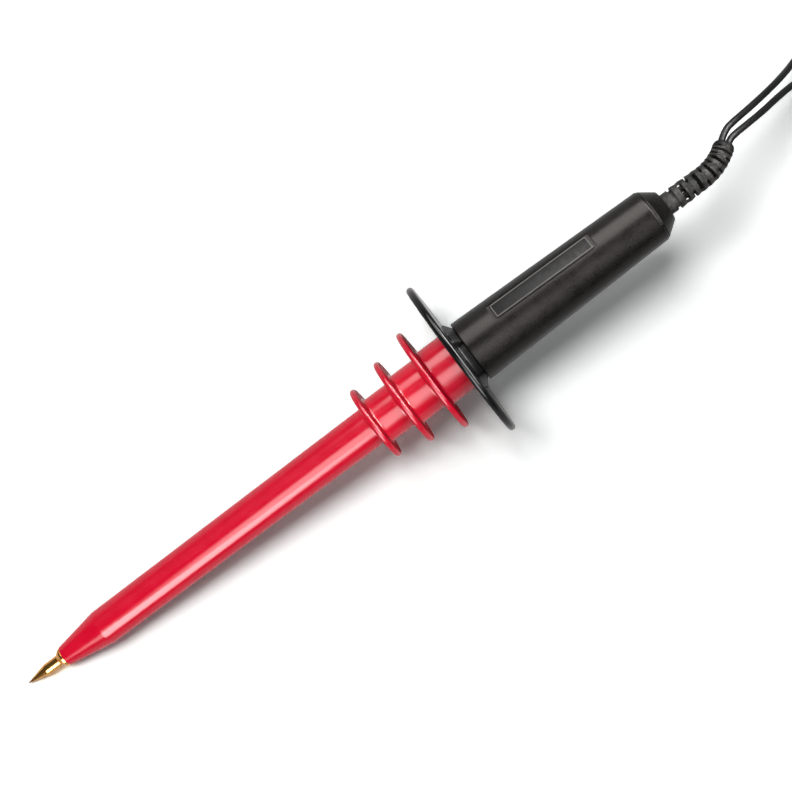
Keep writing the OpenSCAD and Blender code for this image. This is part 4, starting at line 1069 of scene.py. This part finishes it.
boot_mesh = bmesh.new()
boot_rings = [boot_ring(boot_mesh, d, r, boot_sides) for d, r, slot in stations]
for ring, following, (d, r, slot) in zip(boot_rings, boot_rings[1:], stations[1:]):
    for k in range(boot_sides):
        n = (k + 1) % boot_sides
        if slot is None or is_web(slot, k):
            boot_mesh.faces.new([ring[k], ring[n], following[n], following[k]])
boot_mesh.faces.new(boot_rings[-1])
bmesh.ops.recalc_face_normals(boot_mesh, faces=boot_mesh.faces)
boot_piece = new_piece("bend_relief_boot", boot_mesh, lay_down, 60)
wall = boot_piece.modifiers.new("wall", "SOLIDIFY")
wall.thickness, wall.offset, wall.use_even_offset = boot_wall * MM, -1, True
round_edges(boot_piece, 0.13, 2, 38)
dress(boot_piece, "boot_rubber", 60)

# %% [markdown]
# The rear slots go right through, and light would shine through them between the two
# leads. A thin near-black tube inside the sleeve is painted shade: it keeps them dark.

# %% Line the boot with a tube of painted shade
shade_liner_outside = [(9, 2.68), (12, 2.86), (15, 2.86), (18, 2.72), (21, 2.64), (24, 2.6), (27, 2.58)]
shade_liner_inside = [(27, 2.48), (24, 2.5), (21, 2.5), (18, 2.5), (15, 2.5), (12, 2.5), (9, 2.5)]
shade_liner_sides = 48
shade_liner_mesh = bmesh.new()
shade_liner_rings = [boot_ring(shade_liner_mesh, d, r, shade_liner_sides) for d, r in shade_liner_outside + shade_liner_inside]
bridge(shade_liner_mesh, shade_liner_rings + shade_liner_rings[:1])
bmesh.ops.recalc_face_normals(shade_liner_mesh, faces=shade_liner_mesh.faces)
shade_liner_piece = new_piece("bend_relief_shade_liner", shade_liner_mesh, lay_down, 60)
paint(shade_liner_piece, "liner_painted_shade")
stand_in(shade_liner_piece, "probe", "relief_rubber")
stand_in(boot_piece, "probe", "relief_rubber", "strain_relief")

# %% [markdown]
# ## Springs
# Two small springs are wound from round wire: one presses the divider against the point,
# the other closes the clip. A spring is easiest as a curve, with points that go round at
# a steady rate while they rise, and the wire's thickness as the curve's bevel.

# %% Wind the springs
turn_points = 28


def wind(name, radius, wire_r, turns, rise, place):
    """A coiled spring about Z, that rises from 0, all in millimetres."""
    data = bpy.data.curves.new(name, "CURVE")
    data.dimensions = "3D"
    data.bevel_depth = wire_r * MM
    data.bevel_resolution = 3
    data.use_fill_caps = True
    spline = data.splines.new("POLY")
    steps = turns * turn_points
    spline.points.add(steps)
    for k, point in enumerate(spline.points):
        a = 2 * math.pi * k / turn_points
        point.co = (radius * math.cos(a) * MM, radius * math.sin(a) * MM, rise * k / steps * MM, 1)
    spline.use_smooth = True
    spring = bpy.data.objects.new(name, data)
    spring.matrix_world = place
    bpy.context.scene.collection.objects.link(spring)
    spring.data.materials.append(finish["spring_steel"])
    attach(spring, "probe")
    print(name, "points:", steps + 1)
    return spring


insert_end_s, spring_wire_r, grip_len = nose_s + slip + insert_len, 0.3, 20
clip_spring_rise = 3.3
behind_insert = Vector((0, 0, insert_end_s + slip + spring_wire_r))
between_grips = Vector((grip_len, 0, -clip_spring_rise / 2))
contact_spring_piece = wind("contact_spring_wire", 1.9, spring_wire_r, 5, 5.3,
                            lay_down @ Matrix.Translation(behind_insert * MM))
clip_spring_piece = wind("clip_spring_wire", 1.6, spring_wire_r, 3, clip_spring_rise,
                         Matrix.Translation(clip_at * MM) @ Matrix.Rotation(-math.pi / 2, 4, "Z")
                         @ Matrix.Translation(between_grips * MM))
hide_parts("contact_spring")
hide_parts("clip_spring")

# %% [markdown]
# ## Clip covers
# Two soft vinyl sleeves cover the grips of the clip. Their solids have the right planes,
# but edges as sharp as a knife, which no dipped sleeve has. So each sleeve starts as a copy
# of its solid. Its flat faces are joined, so that no hidden edge is in the way, and a bevel
# rounds every edge that is left.

# %% Round the clip covers
cover_pieces = []
for member, body in (("clip_fixed_cover", "probe"), ("clip_moving_cover", "jaw")):
    sleeve_mesh = bmesh.new()
    sleeve_mesh.from_mesh(nodes[member].data)
    bmesh.ops.remove_doubles(sleeve_mesh, verts=sleeve_mesh.verts, dist=1e-6)
    bmesh.ops.dissolve_limit(sleeve_mesh, angle_limit=math.radians(1), verts=sleeve_mesh.verts,
                             edges=sleeve_mesh.edges)
    sleeve = new_piece(member + "_sleeve", sleeve_mesh, nodes[member].matrix_world.copy(), 40)
    round_edges(sleeve, 0.42, 4, 40)
    dress(sleeve, "clip_cover", 40)
    cover_pieces.append(stand_in(sleeve, body, "cover_black", member))

# %% [markdown]
# ## Pieces that keep their solid shape
# Inside the probe, and in the plug and the clip, many small pieces are already the right
# shape. They keep their solid and only get a finish. A list by name is the clearest way,
# since each finish serves several pieces.

# %% Give the other pieces their finish
carried = {
    "insert_brass": ["tip_insert"],
    "spring_steel": ["plug_snap_ring", "plug_spring_washer"],
    "ceramic": ["resistor_rod"],
    "tinned": ["resistor_front_cap", "resistor_rear_cap", "screen_tube", "cord_clamp",
               "barrel_nut"],
    "ring_grey": ["centring_rings"],
    "seal_rubber": ["barrel_seal"],
    "board_green": ["circuit_board"],
    "resistor_lacquer": ["divider_resistor"],
    "trimmer_blue": ["trimmer_body"],
    "trimmer_white": ["trimmer_rotor"],
    "disc_orange": ["capacitors"],
    "wire_red": ["input_wire"],
    "screw_steel": ["clamp_screws", "board_screws"],
    "boot_rubber": ["plug_boot"],
    "nickel": ["plug_ferrule", "plug_body", "plug_sleeve", "plug_thrust_ring", "plug_collar",
               "clip_pin"],
    "nickel_sheet": ["clip_fixed_jaw", "clip_moving_jaw"],
    "insulator_white": ["plug_insulator"],
    "gold_contact": ["plug_pin"],
    "gasket_rubber": ["plug_gasket"],
    "crimp_tin": ["clip_crimp"],
}
for finish_name, members in carried.items():
    for member in members:
        for socket in nodes[member].material_slots:
            socket.material = finish[finish_name]
print("pieces that keep their solid:", sum(len(m) for m in carried.values()))

# %% [markdown]
# The pieces that make up the clip are gathered in one list.

clip_pieces = [nodes[n] for n in ("clip_fixed_jaw", "clip_moving_jaw", "clip_pin", "clip_crimp")]
clip_pieces += [clip_spring_piece, *cover_pieces]

# %% [markdown]
# ## Bench
# The bench is a plain pale floor that runs to the horizon. It looks white because its
# own colour is white to the eye and to anything that mirrors it, while it bounces light
# as a plain pale surface does. The shadow of the probe stays on it.

# %% Lay the floor
def seen_in_a_mirror(tree, ray):
    """1 for a ray that some glossy or clear thing sends out, 0 for any other."""
    glossy, clear = ray.outputs["Is Glossy Ray"], ray.outputs["Is Transmission Ray"]
    return combine(tree, "MAXIMUM", glossy, clear)


floor_reach = 30
floor_mesh = bpy.data.meshes.new("bench_floor")
floor_mesh.from_pydata([(x * floor_reach, y * floor_reach, 0)
                        for x, y in ((-1, -1), (1, -1), (1, 1), (-1, 1))], [], [(0, 1, 2, 3)])
floor = bpy.data.objects.new("bench_floor", floor_mesh)
bpy.context.scene.collection.objects.link(floor)
tree, shader = start_finish("bench_white")
ray = put(tree, "ShaderNodeLightPath")
paper = blend_colours(tree, noise(tree, object_place(tree), 90.0, 5.0),
                      (0.40, 0.40, 0.40, 1), (0.43, 0.43, 0.425, 1))
mirrored = blend_colours(tree, seen_in_a_mirror(tree, ray), paper, (0.95, 0.95, 0.95, 1))
to_the_eye = (1.52, 1.56, 1.545, 1)
tree.links.new(blend_colours(tree, ray.outputs["Is Camera Ray"], mirrored, to_the_eye),
               shader.inputs["Base Color"])
shader.inputs["Roughness"].default_value = 0.9
shader.inputs["Specular IOR Level"].default_value = 0.0
floor_mesh.materials.append(finish["bench_white"])

# %% [markdown]
# ## Room
# A glossy thing shows what stands round it, so the room has three faces. To the eye it is
# white. It fills every side with about a tenth of a plain white sky. What the gloss
# mirrors is a pale band at the horizon under a dim ceiling, as in a real studio.

# %% Make the room
room_fill, horizon, ceiling_level, ceiling_from = 0.11, 0.4, 0.08, 0.2
world = bpy.data.worlds.new("studio_room")
bpy.context.scene.world = world
world.use_nodes = True
tree = world.node_tree
tree.nodes.clear()
ray = put(tree, "ShaderNodeLightPath")
sky = put(tree, "ShaderNodeTexCoord").outputs["Generated"]
height = put(tree, "ShaderNodeSeparateXYZ", [(0, sky)]).outputs[2]
ceiling = put(tree, "ShaderNodeMapRange",
              enumerate((height, 0.0, ceiling_from, horizon, ceiling_level)),
              interpolation_type="SMOOTHSTEP").outputs[0]
level = blend_numbers(tree, seen_in_a_mirror(tree, ray), room_fill, ceiling)
level = blend_numbers(tree, ray.outputs["Is Camera Ray"], level, 1.0)
room = put(tree, "ShaderNodeBackground", [("Color", (1, 1, 1, 1)), ("Strength", level)])
tree.links.new(room.outputs[0], put(tree, "ShaderNodeOutputWorld").inputs[0])

# %% [markdown]
# ## Lamps
# Two broad lamps at the upper left act as one large window: they light the probe and make
# its soft shadow to the lower right. Two softer lamps at the sides stand for reflectors
# close to the probe. Real reflectors that close would hardly reach the bench, so these
# lamps leave it out, and the shadow stays clear.

# %% Hang the lamps
def sun_lamp(name, way, level, spread_deg):
    """A soft lamp far away, which gives a face up that level. It isn't mirrored as a spot."""
    data = bpy.data.lights.new(name, "SUN")
    data.energy = level * math.pi / Vector(way).normalized().z
    data.angle = math.radians(spread_deg)
    sun = bpy.data.objects.new(name, data)
    sun.rotation_euler = Vector(way).to_track_quat("Z", "Y").to_euler()
    sun.visible_glossy = False
    bpy.context.scene.collection.objects.link(sun)
    return sun


def light_group(name, members, state):
    """A collection that a lamp lights and nothing else (INCLUDE), or leaves out (EXCLUDE)."""
    group = bpy.data.collections.new(name)
    for member in members:
        group.objects.link(member)
    for entry in group.collection_objects:
        entry.light_linking.link_state = state
    return group


sun_lamp("window_lamp", (-0.18, 0.37, 1.0), 0.52, 23)
sun_lamp("low_window_lamp", (-0.3, 0.7, 1.0), 0.1, 34)
bench_left_out = light_group("not_lit_from_the_sides", [floor], "EXCLUDE")
for side in (sun_lamp("left_side_lamp", (-0.1, 0.86, 0.5), 0.15, 50),
             sun_lamp("right_side_lamp", (0.2, -0.82, 0.56), 0.35, 50)):
    side.light_linking.receiver_collection = bench_left_out
    side.data.cycles.max_bounces = 0

# %% [markdown]
# ## Cards
# Four glowing cards stand where the probe should mirror something bright. They are seen
# in reflections only, so they don't wash out the colours. The nose card and the barrel
# card draw the soft stripe along the barrel, the rear card the sheen on the handle and
# between the ribs, and the narrow rim card the fine lines on the rims.

# %% Hang the cards
def light_card(name, across_deg, along_deg, along, across, level, full=0.22, distance=1.2):
    """A glowing card, at angles from straight up across and along the probe.

    It glows fully to that distance from its middle, and fades from there to its edge."""
    mesh = bpy.data.meshes.new(name)
    mesh.from_pydata([(-0.5, -0.5, 0), (0.5, -0.5, 0), (0.5, 0.5, 0), (-0.5, 0.5, 0)],
                     [], [(0, 1, 2, 3)])
    card = bpy.data.objects.new(name, mesh)
    card_way = Vector((math.tan(math.radians(along_deg)), math.tan(math.radians(across_deg)), 1))
    card_way.normalize()
    side = (Vector((1, 0, 0)) - card_way * card_way.x).normalized()
    card.matrix_world = (Matrix.Translation(card_way * distance)
                         @ Matrix((side, card_way.cross(side), card_way)).transposed().to_4x4()
                         @ Matrix.Diagonal((along, across, 1, 1)))
    bpy.context.scene.collection.objects.link(card)
    card.visible_camera = card.visible_diffuse = card.visible_shadow = False
    tree, shader = start_finish(name)
    from_middle = put(tree, "ShaderNodeVectorMath", [(0, object_place(tree))],
                      operation="LENGTH").outputs["Value"]
    glow = put(tree, "ShaderNodeMapRange", enumerate((from_middle, full, 0.5, level, 0.0)),
               interpolation_type="SMOOTHSTEP").outputs[0]
    shader.inputs["Base Color"].default_value = (0, 0, 0, 1)
    shader.inputs["Specular IOR Level"].default_value = 0
    shader.inputs["Emission Color"].default_value = (1, 1, 1, 1)
    tree.links.new(glow, shader.inputs["Emission Strength"])
    mesh.materials.append(finish[name])
    return card


cards = [
    light_card("nose_card", across_deg=-40, along_deg=-33, along=1.0, across=1.3, level=15),
    light_card("barrel_card", across_deg=-20, along_deg=-15, along=0.65, across=1.3, level=7.5),
    light_card("rim_card", across_deg=14, along_deg=38, along=0.3, across=4.0, level=75),
    light_card("rear_card", across_deg=48, along_deg=15, along=0.92, across=1.3, level=7.3,
               full=0.4)]

# %% [markdown]
# Bare metal mirrors far more than plastic does, so the cards would burn it white. The
# cards leave out the metal of the plug and the clip, and one very soft lamp, which lights
# nothing else, gives that metal a calm bright sky to mirror.

# %% Light the bare metal
bare_metal = [nodes[member] for member in (
    "clip_fixed_jaw", "clip_moving_jaw", "clip_pin", "clip_crimp", "plug_ferrule", "plug_body",
    "plug_sleeve", "plug_thrust_ring", "plug_collar")]
sky_lamp = sun_lamp("connector_sky_lamp", (-0.25, 0.4, 1.0), 0.46, 100)
sky_lamp.visible_glossy = True
sky_lamp.light_linking.receiver_collection = light_group("connector_metal", bare_metal, "INCLUDE")
metal_left_out = light_group("not_lit_by_the_cards", bare_metal, "EXCLUDE")
for card in cards:
    card.light_linking.receiver_collection = metal_left_out

# %% [markdown]
# ## Colours on screen
# The plain view transform shows a colour as it is written.

# %% Finish
scene = bpy.context.scene
scene.view_settings.view_transform = "Standard"
bpy.context.view_layer.update()
